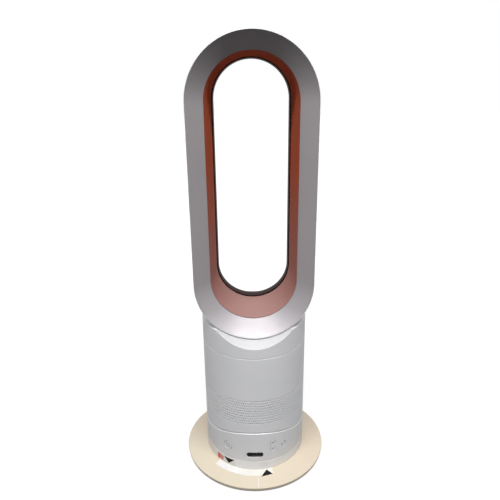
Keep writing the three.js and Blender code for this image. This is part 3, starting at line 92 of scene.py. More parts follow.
DISPLAY_AZIMUTH = math.radians(-1)
DISPLAY_HEIGHT = (window_low.z + window_high.z) / 2 - 0.4 * MM
DISPLAY_HALF_TALL = 3.3 * MM
DISPLAY_HALF_RUN = 8.1 * MM
DISPLAY_SINK = 0.1 * MM
DISPLAY_EDGE = 0.4 * MM

LATHE_STEPS = 240
LOOP_STEPS = 96
DISC_STEPS = 48
NORMAL_STEP = 1e-5
ON_SURFACE = 0.012 * MM
NEAR_SURFACE = 0.5  # how far a normal may turn from its face, as a cosine
NEAR_SMOOTH = 0.6
LARGEST_SHARE = 1e-7  # so that a large face doesn't outweigh its small neighbours
SHARP_ANGLE = math.radians(28)
WELD_GAP = 0.06 * MM
CUT_PAST = 3 * MM  # how far a cutter reaches past what it cuts
CUT_INSIDE = 4 * MM
CUT_CLEAR = 10 * MM
CUT_FAR = 50 * MM


# ---------- shapes ----------

class Shape:
    """Points and faces; a corner is a (point's number, normal) pair, and a face without normals is flat."""

    def __init__(self):
        self.points = []
        self.faces = []

    def add(self, points, normals=None):
        """Adds points, and gives the corners that stand on them."""
        first = len(self.points)
        self.points.extend(points)
        return [(first + i, normal) for i, normal in enumerate(normals or [None] * len(points))]

    def join(self, first, second, closed=True):
        """Faces between two rings of corners, or between two open rows of them."""
        size = len(first)
        for i in range(size if closed else size - 1):
            j = (i + 1) % size
            self.faces.append([first[i], first[j], second[j], second[i]])

    def turn_inside_out(self, first=0):
        self.faces[first:] = [corners[::-1] for corners in self.faces[first:]]

    def outward(self):
        """Turns the faces round if they face inwards."""
        volume = 0.0
        for corners in self.faces:
            a, *others = [self.points[k] for k, _ in corners]
            for b, c in zip(others, others[1:]):
                volume += a.dot(b.cross(c))
        if volume < 0:
            self.turn_inside_out()
        return self

    def bare_mesh(self, name):
        mesh = bpy.data.meshes.new(name)
        mesh.from_pydata([tuple(p) for p in self.points], [], [[k for k, _ in face] for face in self.faces])
        mesh.update()
        return mesh

    def mesh(self, name):
        """The mesh with the shape's own normals."""
        mesh = self.bare_mesh(name)
        mesh.polygons.foreach_set("use_smooth", [True] * len(mesh.polygons))
        corner_normals = []
        for corners in self.faces:
            a, b, c = (self.points[k] for k, _ in corners[:3])
            corner_normals += [tuple((normal or (b - a).cross(c - a)).normalized()) for _, normal in corners]
        mesh.normals_split_custom_set(corner_normals)
        mesh.update()
        return mesh


def place(name, mesh):
    made = bpy.data.objects.new(name, mesh)
    bpy.context.scene.collection.objects.link(made)
    return made


def piece(name, form, material, body, stands_for=()):
    """A visible piece that rides on a body, with its finish, and the nodes that it stands for."""
    made = place(name, form.mesh(name) if isinstance(form, Shape) else form)
    made.data.materials.clear()
    made.data.materials.append(material)
    if stands_for:
        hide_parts(*stands_for)
    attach(made, body)


def rounded(corners, steps=5):
    """A closed outline of (x, y, radius) corners, each made round: [(x, y, normal x, normal y)]."""
    spots = [Vector(c[:2]) for c in corners]
    radii = [c[2] for c in corners]
    if sum(a.x * b.y - b.x * a.y for a, b in zip(spots, spots[1:] + spots[:1])) < 0:
        spots.reverse()
        radii.reverse()
    outline = []
    for i, spot in enumerate(spots):
        into = (spot - spots[i - 1]).normalized()
        out = (spots[(i + 1) % len(spots)] - spot).normalized()
        turn = math.atan2(into.x * out.y - into.y * out.x, into.dot(out))
        back = radii[i] * math.tan(abs(turn) / 2)
        side = math.copysign(1, turn)
        start_normal = Vector((into.y, -into.x))
        centre = spot - into * back - start_normal * radii[i] * side
        count = max(1, round(steps * abs(turn) / QUARTER))
        for k in range(count + 1):
            normal = Matrix.Rotation(turn * k / count, 2) @ start_normal
            at = centre + normal * radii[i] * side
            outline.append((at.x, at.y, normal.x, normal.y))
    return outline


def half_rounded(corners, steps):
    """The right half of a rounded outline that is closed across the axis."""
    return [p for p in rounded(corners, steps) if p[0] > 0]


def smooth_outline(points):
    """A closed outline of close (x, y) points, with normals halfway between its edges."""
    if sum(a[0] * b[1] - b[0] * a[1] for a, b in zip(points, points[1:] + points[:1])) < 0:
        points = points[::-1]
    outline = []
    for i, (x, y) in enumerate(points):
        before = Vector(points[i - 1])
        after = Vector(points[(i + 1) % len(points)])
        along = (Vector((x, y)) - before).normalized() + (after - Vector((x, y))).normalized()
        outline.append((x, y, along.y, -along.x))
    return outline


def carried(outline, stations):
    """An outline of (radius, along, normals) carried round stations of (centre, radial, axial)."""
    shape = Shape()
    rings = [shape.add([centre + radial * r + axial * a for r, a, _, _ in outline],
                       [radial * nr + axial * na for _, _, nr, na in outline])
             for centre, radial, axial in stations]
    for ring, after in zip(rings, rings[1:] + rings[:1]):
        shape.join(ring, after)
    return shape.outward()


def radial_at(azimuth):
    return Vector((math.sin(azimuth), -math.cos(azimuth), 0))


def turned(outline, steps=LATHE_STEPS):
    """An outline turned about the upright axis."""
    return carried(outline, [(ORIGIN, radial_at(TURN * i / steps), UP) for i in range(steps)])


def arc_stations(height, first, last, steps):
    """Stations on an arc about an axis along Y at a height, both ends included."""
    angles = [first + (last - first) * i / steps for i in range(steps + 1)]
    return [(UP * height, Vector((math.cos(a), 0, math.sin(a))), Vector((0, 1, 0))) for a in angles]


def loop_ring(outline_of_insets):
    """A ring round the loop, from an outline of (inset from the loop's outside, y) points with normals."""
    outline = [(LOOP_RADIUS - inset, y, -nx, ny) for inset, y, nx, ny in outline_of_insets]
    return carried(outline, arc_stations(LOOP_HIGH_CENTRE, 0, math.pi, LOOP_STEPS)
                   + arc_stations(LOOP_LOW_CENTRE, math.pi, TURN, LOOP_STEPS))


def placed_normal(put, point, normal):
    """A normal as it is after put has bent the shape."""
    return put(point + normal.normalized() * NORMAL_STEP) - put(point)


def placed_ring(shape, put, spots, normals):
    """Adds points that put has given their place, with normals that are bent alike."""
    return shape.add([put(p) for p in spots], [placed_normal(put, p, n) for p, n in zip(spots, normals)])


def disc_stack(outline, put, steps=DISC_STEPS):
    """An outline that starts and ends on its axis, turned about it; put gives each point its place."""
    shape = Shape()
    rings = []
    for i in range(steps):
        across, along = math.cos(TURN * i / steps), math.sin(TURN * i / steps)
        rings.append(shape.add([Vector((r * across, r * along, z)) for r, z, _, _ in outline[1:-1]],
                               [Vector((nr * across, nr * along, nz)) for _, _, nr, nz in outline[1:-1]]))
    foot, tip = shape.add([UP * outline[0][1], UP * outline[-1][1]], [-UP, UP])
    for ring, after in zip(rings, rings[1:] + rings[:1]):
        shape.join(ring, after, closed=False)
        shape.faces += [[foot, ring[0], after[0]], [ring[-1], tip, after[-1]]]
    shape.outward()
    shape.faces = [[(k, placed_normal(put, shape.points[k], normal)) for k, normal in corners]
                   for corners in shape.faces]
    shape.points = [put(p) for p in shape.points]
    return shape


def skin(rows, closed=False):
    """A mesh through rows of points: with a face at each end, or closed round on itself."""
    shape = Shape()
    rings = [shape.add(row) for row in rows]
    for ring, after in zip(rings, rings[1:] + rings[:1] if closed else rings[1:]):
        shape.join(ring, after)
    if not closed:
        shape.faces += [rings[0][::-1], rings[-1]]
    return shape.outward()


def loft(sections, put=Vector):
    """A closed mesh through (level, outline) sections; put places each (x, y, level) point."""
    return skin([[put(Vector((x, y, level))) for x, y in outline] for level, outline in sections])


def prism(outline, low, high, put=Vector):
    """A closed mesh from an outline pushed from low to high."""
    return loft([(low, outline), (high, outline)], put)


def along_x(point):
    return point.zxy


def along_y(point):
    return point.xzy


def circle(radius, steps, centre=(0, 0), first=0, last=TURN):
    """Points on an arc, both ends included unless it is a whole circle."""
    count = steps if last - first == TURN else steps + 1
    return [(centre[0] + radius * math.cos(first + (last - first) * i / steps),
             centre[1] + radius * math.sin(first + (last - first) * i / steps)) for i in range(count)]


def racetrack(grow):
    """The loop's outline in X and Z, grown by some clearance."""
    radius = LOOP_RADIUS + grow
    return (circle(radius, 2 * LOOP_STEPS, (0, LOOP_HIGH_CENTRE), 0, math.pi)
            + circle(radius, 2 * LOOP_STEPS, (0, LOOP_LOW_CENTRE), math.pi, TURN))


def carved(name, start, cutters, edge, surfaces):
    """start less each cutter, with its sharp edges made round and each known surface's own normals."""
    block = place(name + ".block", start.bare_mesh(name))
    helpers = [place(f"{name}.cutter{i}", cutter.bare_mesh(name)) for i, cutter in enumerate(cutters)]
    for helper in helpers:
        cut = block.modifiers.new(helper.name, "BOOLEAN")
        cut.operation = "DIFFERENCE"
        cut.solver = "EXACT"
        cut.object = helper
    weld = block.modifiers.new("weld", "WELD")
    weld.merge_threshold = WELD_GAP
    if edge:
        bevel = block.modifiers.new("edge", "BEVEL")
        bevel.width = edge
        bevel.segments = 3
        bevel.limit_method = "ANGLE"
        bevel.angle_limit = SHARP_ANGLE
        bevel.use_clamp_overlap = False
        bevel.miter_outer = "MITER_ARC"
    depsgraph = bpy.context.evaluated_depsgraph_get()
    mesh = bpy.data.meshes.new_from_object(block.evaluated_get(depsgraph))
    for helper in helpers + [block]:
        old = helper.data
        bpy.data.objects.remove(helper)
        bpy.data.meshes.remove(old)
    mesh.name = name
    mesh.polygons.foreach_set("use_smooth", [True] * len(mesh.polygons))
    set_surface_normals(mesh, surfaces)
    return mesh


def set_surface_normals(mesh, surfaces):
    """Gives the corners that lie on a known surface that surface's normal, and the others a smooth one."""
    known = []
    for vertex in mesh.vertices:
        found = [surface(vertex.co) for surface in surfaces]
        known.append([normal for distance, normal in found if abs(distance) < ON_SURFACE])
    smooth = [ORIGIN.copy() for _ in mesh.vertices]
    for polygon in mesh.polygons:
        for index in polygon.vertices:
            smooth[index] += polygon.normal * min(polygon.area, LARGEST_SHARE)
    normals = []
    for polygon in mesh.polygons:
        facing = polygon.normal
        for index in polygon.vertices:
            best = max(known[index], key=lambda n: n.dot(facing), default=None)
            if best is None or best.dot(facing) <= NEAR_SURFACE:
                best = smooth[index].normalized() if smooth[index].length > 0 else facing
                if best.dot(facing) < NEAR_SMOOTH:
                    best = facing
            normals.append(tuple(best))
    mesh.normals_split_custom_set(normals)


def on_cylinder(radius, centre=ORIGIN, axis=2, outward=True):
    """The surface of a cylinder along an axis, as a function of a point: (distance from it, normal)."""
    side = 1 if outward else -1

    def surface(point):
        away = point - centre
        away[axis] = 0
        return away.length - radius, away.normalized() * side

    return surface


def on_plane(height, up=True):
    """A level surface, as a function of a point: (distance from it, normal)."""
    return lambda point: (point.z - height, UP if up else -UP)


# ---------- finishes ----------

class Nodes:
    """A node tree, with short ways to add to it."""

    def __init__(self, tree):
        self.tree = tree
        self.coordinates = self.node("TexCoord").outputs
        self.place = self.coordinates["Object"]

    def set(self, socket, value):
        """Joins a socket to another node's output, or gives it a value."""
        if isinstance(value, bpy.types.NodeSocket):
            self.tree.links.new(value, socket)
        else:
            socket.default_value = (*value, 1) if socket.type == "RGBA" else value

    def fill(self, node, values):
        for name, value in values.items():
            self.set(node.inputs[name.replace("_", " ")], value)

    def node(self, kind, **values):
        """A new node, with some of its inputs set."""
        made = self.tree.nodes.new("ShaderNode" + kind)
        self.fill(made, values)
        return made

    def part_of_place(self, axis):
        return self.node("SeparateXYZ", Vector=self.place).outputs[axis]

    def stretched(self, scale):
        """The coordinates, stretched by a factor along each axis."""
        return self.node("Mapping", Vector=self.place, Scale=scale).outputs["Vector"]

    def noise(self, size, detail=2.0, roughness=0.5, vector=None):
        """Smooth noise with features of some size in metres: a value round 0.5."""
        return self.node("TexNoise", Scale=1 / size, Detail=detail, Roughness=roughness,
                         Vector=vector or self.place).outputs["Fac"]

    def cells(self, size, feature="F1", output="Distance"):
        voronoi = self.node("TexVoronoi", Scale=1 / size, Vector=self.place)
        voronoi.feature = feature
        return voronoi.outputs[output]

    def spread(self, value, low=0, high=1, source_low=0.3, source_high=0.7):
        """A value carried from one range to another."""
        return self.node("MapRange", Value=value, From_Min=source_low, From_Max=source_high, To_Min=low,
                         To_Max=high).outputs["Result"]

    def maths(self, operation, a, b=0.0):
        node = self.node("Math")
        node.operation = operation
        self.set(node.inputs[0], a)
        self.set(node.inputs[1], b)
        return node.outputs["Value"]

    def blend(self, factor, first, second, kind="MIX"):
        """Two colours mixed by a factor."""
        mix = self.node("Mix")
        mix.data_type = "RGBA"
        mix.blend_type = kind
        self.fill(mix, {"Factor": factor, "A": first, "B": second})
        return mix.outputs["Result"]

    def bump(self, height, depth):
        return self.node("Bump", Strength=1, Distance=depth, Height=height).outputs["Normal"]


class Finish(Nodes):
    """A material, made by adding to its shader's node tree."""

    def __init__(self, name):
        self.material = bpy.data.materials.new(name)
        self.material.use_nodes = True
        super().__init__(self.material.node_tree)

    def surface(self, **values):
        """Sets the shader's inputs, and gives the material."""
        self.fill(self.tree.nodes["Principled BSDF"], values)
        return self.material


def shade(colour, factor):
    return tuple(min(1.0, c * factor) for c in colour)


def around(value, less, more=None):
    """The ends of a range round a value."""
    return value - less, value + (less if more is None else more)


def flaked(n, colour, warm, flake):
    """A lacquer's colour: faint clouds of two shades, under fine flakes."""
    clouds = n.blend(n.spread(n.noise(60 * MM, 3)), shade(colour, 0.965), shade(warm, 1.03))
    grains = n.node("RGBToBW", Color=n.cells(0.45 * MM, output="Color")).outputs["Val"]
    flakes = n.blend(n.spread(grains, 0, 1, 0.1, 0.9), shade(colour, 1 - flake), shade(colour, 1 + flake))
    return n.blend(0.5, clouds, flakes)


def lacquered(n, base, tint, metallic, gloss, edge=0.3, roughness=0.4):
    """A lacquer's surface: a wiped gloss, a slight orange peel and a darker edge-on sheen."""
    return n.surface(
        Base_Color=base, Roughness=n.spread(n.noise(14 * MM, 4, 0.6), *around(roughness, 0.03, 0.04)),
        Metallic=metallic, Specular_IOR_Level=gloss, Specular_Tint=shade(tint, edge),
        Normal=n.bump(n.noise(3.5 * MM, 2), 0.012 * MM))


def lacquer(name, colour, warm, metallic, gloss, flake=0.05, **surface):
    """Metallic lacquer in a colour, with clouds of a warmer shade."""
    n = Finish(name)
    return lacquered(n, flaked(n, colour, warm, flake), colour, metallic, gloss, **surface)


BEVEL_GREY = (0.36, 0.345, 0.36)
BEVEL_WARM = (0.37, 0.35, 0.36)
# painted shade over the head of the loop and a painted highlight round its foot, as factors on the bevel's colour
BEVEL_HEAD_SHADE = 0.6
BEVEL_FOOT_HIGHLIGHT = 1.5


def bevel_lacquer_with_painted_light():
    """Grey lacquer with painted shade that darkens it over the head of the loop, and a painted highlight that
    makes it paler round its foot.
    """
    n = Finish("bevel_lacquer_with_painted_light")
    height = n.part_of_place("Z")
    head = n.spread(height, 1, BEVEL_HEAD_SHADE, LOOP_HIGH_CENTRE, LOOP_HIGH_CENTRE + LOOP_RADIUS)
    foot = n.spread(height, BEVEL_FOOT_HIGHLIGHT, 1, LOOP_LOW_CENTRE - LOOP_RADIUS, LOOP_LOW_CENTRE - LOOP_RADIUS * 0.5)
    painted_light_colour = n.node("VectorMath", Vector=flaked(n, BEVEL_GREY, BEVEL_WARM, 0.05))
    painted_light_colour.operation = "SCALE"
    n.set(painted_light_colour.inputs["Scale"], n.maths("MULTIPLY", head, foot))
    return lacquered(n, painted_light_colour.outputs["Vector"], BEVEL_GREY, 0.14, 0.05)


COPPER_TOP = (0.47, 0.115, 0.06)
# the paler, pinker colour at the foot of the copper is a painted reflection
COPPER_FOOT_REFLECTION = (0.38, 0.225, 0.205)


def copper_lacquer_with_painted_reflection():
    """Copper lacquer with a painted reflection that makes it a little paler and pinker towards the foot of the
    loop.
    """
    n = Finish("copper_lacquer_with_painted_reflection")
    share = n.spread(n.part_of_place("Z"), 1, 0, LOOP_LOW_CENTRE - LOOP_RADIUS * 0.7,
                     LOOP_HIGH_CENTRE - LOOP_RADIUS)
    speckles = n.blend(n.spread(n.noise(1.2 * MM, 3)), (0.93, 0.93, 0.93), (1, 1, 1))
    speckled = n.blend(1, n.blend(share, COPPER_TOP, COPPER_FOOT_REFLECTION), speckles, "MULTIPLY")
    return lacquered(n, speckled, COPPER_TOP, 0.12, 0.0)


def moulded(name, colour, roughness, grain=0.7 * MM, depth=0.02 * MM, mottle=0.05, specular=0.5):
    """Moulded plastic or rubber: a spark-eroded grain, with faint flow marks in its colour."""
    n = Finish(name)
    flow = n.noise(25 * MM, 3, 0.6, n.stretched((1, 1, 0.35)))
    return n.surface(
        Base_Color=n.blend(n.spread(flow), shade(colour, 1 - mottle), shade(colour, 1 + mottle)),
        Roughness=n.spread(n.noise(6 * MM, 3), *around(roughness, 0.05)), Specular_IOR_Level=specular,
        Normal=n.bump(n.noise(grain, 3, 0.65), depth))


def metal(name, colour, roughness, brush=(1, 1, 14)):
    """Bare metal with drawing marks along one direction, and faint stains."""
    n = Finish(name)
    marks = n.noise(4 * MM, 5, 0.7, n.stretched(brush))
    return n.surface(
        Base_Color=n.blend(n.spread(n.noise(18 * MM, 3)), shade(colour, 0.9), shade(colour, 1.05)),
        Roughness=n.spread(marks, *around(roughness, 0.07, 0.09)), Metallic=1,
        Normal=n.bump(marks, 0.006 * MM))


def sticker(name, colour, gloss=0.3, roughness=0.45):
    """Printed film, with the faint tooth of its surface and slight fading."""
    n = Finish(name)
    return n.surface(
        Base_Color=n.blend(n.spread(n.noise(12 * MM, 3)), shade(colour, 0.95), shade(colour, 1.03)),
        Roughness=n.spread(n.noise(3 * MM, 3), *around(roughness, 0.05)), Specular_IOR_Level=gloss,
        Normal=n.bump(n.noise(0.8 * MM, 2), 0.008 * MM))


# where the painted grey reflection lies across the window
REFLECTION_HEIGHT = DISPLAY_HEIGHT - 1.7 * MM
REFLECTION_FOOT = (-0.9 * MM, -0.5 * MM)  # where it fades in and out, from its height
REFLECTION_TOP = (0.3 * MM, 0.8 * MM)


def window_glass():
    """Black polished window with faint wiping marks and a painted soft grey reflection across its lower half."""
    n = Finish("black_window")
    smears = n.noise(5 * MM, 4, 0.6, n.stretched((1, 1, 3)))
    height = n.part_of_place("Z")
    above_foot = n.spread(height, 0, 1, *(REFLECTION_HEIGHT + edge for edge in REFLECTION_FOOT))
    below_top = n.spread(height, 1, 0, *(REFLECTION_HEIGHT + edge for edge in REFLECTION_TOP))
    sideways = n.maths("ABSOLUTE", n.part_of_place("X"))
    between_ends = n.spread(sideways, 1, 0, DISPLAY_HALF_RUN * 0.7, DISPLAY_HALF_RUN)
    # painted reflection: the mask of a soft grey band across the window's lower half
    printed = n.maths("MULTIPLY", n.maths("MULTIPLY", above_foot, below_top), between_ends)
    dark = n.blend(n.spread(smears), (0.003, 0.003, 0.0035), (0.009, 0.009, 0.01))
    return n.surface(
        Base_Color=n.blend(printed, dark, (0.06, 0.062, 0.065)), Roughness=n.spread(smears, 0.05, 0.16),
        Normal=n.bump(n.noise(9 * MM, 1), 0.01 * MM), Specular_IOR_Level=0.12)


def circuit_board():
    """Green solder mask over tracks, with tinned pads in a grid."""
    n = Finish("circuit_board")
    tracks = n.spread(n.cells(3.2 * MM, "DISTANCE_TO_EDGE"), 1, 0, 0.04, 0.07)
    mask = n.blend(tracks, (0.012, 0.09, 0.035), (0.03, 0.17, 0.06))
    pads = n.spread(n.cells(2.1 * MM), 1, 0, 0.16, 0.2)
    return n.surface(
        Base_Color=n.blend(pads, mask, (0.62, 0.62, 0.6)), Roughness=n.spread(pads, 0.42, 0.25, 0, 1),
        Normal=n.bump(tracks, 0.03 * MM))


def stator_core():
    """Stacked steel sheets: fine level lines, with the copper colour of the windings between them."""
    n = Finish("motor_core")
    sheets = n.noise(2.5 * MM, 2, 0.5, n.stretched((0.02, 0.02, 6)))
    return n.surface(
        Base_Color=n.blend(n.spread(sheets, 0, 1, 0.45, 0.55), (0.30, 0.15, 0.08), (0.48, 0.42, 0.38)),
        Roughness=n.spread(sheets, 0.3, 0.5), Normal=n.bump(sheets, 0.04 * MM), Metallic=1)


SILVER = lacquer("silver_lacquer", (0.68, 0.685, 0.705), (0.695, 0.69, 0.695), 0.14, 0.08)
# paler and warmer than the silver: painted light bounced up from the cream base
COLLAR_SILVER_PAINTED_BOUNCE = lacquer("collar_lacquer_painted_bounce", (0.77, 0.765, 0.765), (0.775, 0.76, 0.75), 0.1, 0.12)
CREAM = lacquer("cream_lacquer", (0.635, 0.572, 0.452), (0.65, 0.53, 0.43), 0.0, 0.25, flake=0.02)
# paler than the silver: a painted glint on the seam strip, which also catches the lamp's real glint
POLISHED_SEAM_GLINT = lacquer("polished_edge_painted_glint", (0.8, 0.8, 0.81), (0.8, 0.8, 0.81), 0.14, 0.2, edge=0.6, roughness=0.36)
NICKEL = bevel_lacquer_with_painted_light()
COPPER = copper_lacquer_with_painted_reflection()
# near-black: painted shade of the air slot between the copper wall and the shell
LIP_PAINTED_SHADE = moulded("slot_lip_painted_shade", (0.045, 0.028, 0.028), 0.45, specular=0.08)
RUBBER = moulded("black_rubber", (0.028, 0.028, 0.03), 0.8, 0.9 * MM, 0.04 * MM, 0.1, 0.3)
BLACK_GLASS = window_glass()
LABEL_WHITE = sticker("label_white", (0.73, 0.715, 0.70))
LABEL_PALE = sticker("label_pale", (0.70, 0.685, 0.64))
LABEL_RED = sticker("label_red", (0.62, 0.10, 0.065))
LABEL_BLACK = sticker("label_black", (0.012, 0.012, 0.013), gloss=0.1)
ICON_GREY = sticker("icon_grey", (0.10, 0.10, 0.105))

SLOT_FINISHES = {
    "silver_shell": SILVER,
    "copper_wall": COPPER,
    "base_cream": CREAM,
    "dark_plastic": LIP_PAINTED_SHADE,
    "black_window": BLACK_GLASS,
    "black_rubber": RUBBER,
    "grey_plastic": moulded("grey_plastic", (0.30, 0.31, 0.32), 0.55),
    "white_plastic": moulded("white_plastic", (0.78, 0.78, 0.75), 0.5, mottle=0.02),
    "steel": metal("steel", (0.56, 0.57, 0.58), 0.32),
    "aluminium_fins": metal("aluminium", (0.72, 0.73, 0.74), 0.38, (1, 10, 1)),
    "circuit_board": circuit_board(),
    "motor_core": stator_core(),
}


def finish_solids():
    """Gives each of the frame's solids the finish of its slot."""
    slots = {part["node"]: part["material_slot"] for part in frame["record"]["subparts"]}
    for node_name, node in frame["nodes"].items():
        node.data.materials.clear()
        node.data.materials.append(SLOT_FINISHES[slots[node_name]])


# ---------- air loop ----------

RIM_WIDTH = 0.6 * MM
RIM_GAP = 0.12 * MM
HEM_END = 6 * MM
SHELL_THICK = 2.4 * MM
BACK_ROUND = 12 * MM
BACK_INSET = 20 * MM
BEVEL_INSET = 20.7 * MM
BEVEL_THICK = 1.8 * MM
BEVEL_SKIRT = 4 * MM
BEVEL_SLOPE = (BEVEL_BACK - LOOP_FRONT) / BEVEL_INSET
COPPER_INSET = 26.4 * MM
COPPER_BACK = 28 * MM
COPPER_WALL = 1.6 * MM
COPPER_CURL = 3 * MM
LIP_INSET = 28.6 * MM
LIP_NARROW = 35.7 * MM
LIP_WALL = 1.3 * MM
LIP_REACH = 5 * MM
LIP_LEAN = 1.2 * MM
LIP_TIP = 0.25 * MM
SOFT = 0.2 * MM  # the radius of an edge that is just broken


def loop_outer_shell():
    return loop_ring(rounded([
        (RIM_WIDTH, LOOP_FRONT + HEM_END, SOFT),
        (RIM_WIDTH, LOOP_FRONT, 0.1 * MM),
        (0, LOOP_FRONT, 0.4 * MM),
        (0, LOOP_BACK, BACK_ROUND),
        (BACK_INSET, LOOP_BACK, 0.4 * MM),
        (BACK_INSET, LOOP_BACK - SHELL_THICK, 0.3 * MM),
        (SHELL_THICK, LOOP_BACK - SHELL_THICK, BACK_ROUND - SHELL_THICK),
        (SHELL_THICK, LOOP_FRONT + HEM_END, SOFT),
    ], steps=8))


def bevel_y(inset):
    return LOOP_FRONT + BEVEL_SLOPE * inset


def loop_bevel_face():
    outer = RIM_WIDTH + RIM_GAP
    hem = outer + BEVEL_THICK / 2
    return loop_ring(rounded([
        (outer, bevel_y(outer), 0.15 * MM),
        (BEVEL_INSET, BEVEL_BACK, 0.45 * MM),
        (BEVEL_INSET - BEVEL_THICK, BEVEL_BACK + BEVEL_THICK / 3, SOFT),
        (hem, bevel_y(hem) + BEVEL_THICK, SOFT),
        (hem, LOOP_FRONT + BEVEL_SKIRT, SOFT),
        (outer, LOOP_FRONT + BEVEL_SKIRT, SOFT),
    ]))


def loop_copper_wall():
    front = BEVEL_BACK + SEAM
    back = COPPER_BACK + COPPER_CURL
    return loop_ring(rounded([
        (BEVEL_INSET, front, 0.3 * MM),
        (COPPER_INSET, back, COPPER_CURL - 0.05 * MM),
        (COPPER_INSET - COPPER_CURL, back, SOFT),
        (COPPER_INSET - COPPER_CURL, back - COPPER_WALL, SOFT),
        (COPPER_INSET - COPPER_WALL, back - COPPER_WALL, (COPPER_CURL - COPPER_WALL) * 0.95),
        (BEVEL_INSET - COPPER_WALL, front + COPPER_WALL, SOFT),
    ], steps=8))


def ellipse_arc(centre, half, first, last, steps=14):
    """Points on an arc of an ellipse with two half widths."""
    return [(centre[0] + half[0] * x, centre[1] + half[1] * y)
            for x, y in circle(1, steps, first=first, last=last)]


def loop_slot_lip():
    """The lip, near-black as painted shade of the air slot: it narrows from the shell's back edge and ends in a
    thin straight nose.
    """
    start = BACK_INSET + SEAM
    outside = (LIP_INSET - start, LOOP_BACK - LIP_NARROW)
    inside = (outside[0] - LIP_WALL, outside[1] - SHELL_THICK)
    tip = LIP_INSET - LIP_LEAN
    nose = LIP_NARROW - LIP_REACH
    return loop_ring(smooth_outline([
        *ellipse_arc((start, LIP_NARROW), outside, QUARTER, 0),
        (tip + LIP_TIP, nose + LIP_WALL - 0.1 * MM),
        *circle(LIP_TIP, 6, (tip - LIP_TIP, nose + LIP_TIP), 0, -math.pi),
        *ellipse_arc((start, LIP_NARROW), inside, 0, QUARTER),
    ]))


# ---------- neck ----------

SCOOP_GAP = 1.6 * MM
SCOOP_BACK = 6 * MM
NECK_EDGE = 0.5 * MM
NECK_HOLLOW = 5 * MM


def in_wedges(block, wedges=8):
    """Splits a round block's top into wedges, because a top with a wide notch can't be one face."""
    top = block.faces.pop()
    centre, = block.add([UP * block.points[top[0][0]].z])
    share = len(top) // wedges
    for i in range(0, len(top), share):
        block.faces.append([centre, *[top[(i + k) % len(top)] for k in range(share + 1)]])
    return block


def neck_shell():
    """The neck, with a seat for the loop that opens wider at the front to form the scoop."""
    scoop_back = LOOP_FRONT + SCOOP_BACK
    low = NECK_SEAM + SEAM / 2
    whole = in_wedges(prism(circle(BODY_RADIUS, LATHE_STEPS), low, NECK_TOP))
    drop = SCOOP_GAP - 2 * SEAM
    close = racetrack(SEAM)
    wide = [(x, z - drop) for x, z in racetrack(2 * SEAM)]
    seat = loft([(-BODY_RADIUS - CUT_FAR, wide), (scoop_back - SCOOP_GAP, wide), (scoop_back, close),
                 (LOOP_BACK + SEAM, close)], along_y)
    hollow = prism(circle(BODY_BORE, LATHE_STEPS), low - CUT_FAR, low + NECK_HOLLOW)
    centre = UP * LOOP_LOW_CENTRE
    surfaces = [
        on_cylinder(BODY_RADIUS),
        on_cylinder(LOOP_RADIUS + 2 * SEAM, centre - UP * drop, 1, False),
        on_cylinder(LOOP_RADIUS + SEAM, centre, 1, False),
        on_plane(NECK_TOP),
        on_plane(low, False),
    ]
    return carved("neck_shell", whole, [seat, hollow], NECK_EDGE, surfaces)


# ---------- main body ----------

INTAKE_LOW = 87.8 * MM
INTAKE_HIGH = 124.7 * MM
INTAKE_ROWS = 10
INTAKE_COLUMNS = 150
INTAKE_HOLE = 0.8 * MM
INTAKE_CHAMFER = 0.2 * MM
INTAKE_PITCH = (INTAKE_HIGH - INTAKE_LOW - 2 * INTAKE_HOLE) / (INTAKE_ROWS - 1)
BAND_LOW = INTAKE_LOW + INTAKE_HOLE - INTAKE_PITCH / 2
BAND_HIGH = BAND_LOW + INTAKE_PITCH * INTAKE_ROWS
HOLE_POINTS = 16
HOLE_ANGLES = [TURN * i / HOLE_POINTS for i in range(HOLE_POINTS)]
CASING_TOP = NECK_SEAM - SEAM / 2
TOP_ROUND = 0.85 * MM
FOOT_ROUND = 0.25 * MM
ROUND_STEPS = 4
SHARES_BELOW = (0, 0.33, 0.67, 1)  # where the rings lie between the foot and the holes
RINGS_ABOVE = 6
COLUMN_AZIMUTHS = [math.pi * i / INTAKE_COLUMNS for i in range(2 * INTAKE_COLUMNS)]
COLUMN_RADIALS = [radial_at(azimuth) for azimuth in COLUMN_AZIMUTHS]


def tilt_edge(radius, azimuth, tilt_radius):
    """The height where a cylinder about the tilt axis cuts the body's wall."""
    return TILT_AXIS - math.sqrt(tilt_radius ** 2 - (radius * math.cos(azimuth)) ** 2)


def casing_foot(azimuth):
    return tilt_edge(BODY_RADIUS, azimuth, UPPER_TILT_RADIUS)


def casing_ring(shape, radius, height_at, normals=None):
    """A ring of corners on the wall; height_at gives its height at each azimuth."""
    side = 1 if radius == BODY_RADIUS else -1
    return shape.add([radial * radius + UP * height_at(azimuth)
                      for radial, azimuth in zip(COLUMN_RADIALS, COLUMN_AZIMUTHS)],
                     normals or [radial * side for radial in COLUMN_RADIALS])


def hole_ring(shape, radius, hole, azimuth, middle, side):
    """A ring of corners round one hole, on a face of the wall."""
    azimuths = [azimuth + hole * math.cos(angle) / BODY_RADIUS for angle in HOLE_ANGLES]
    return shape.add([radial_at(at) * radius + UP * (middle + hole * math.sin(angle))
                      for at, angle in zip(azimuths, HOLE_ANGLES)], [radial_at(at) * side for at in azimuths])


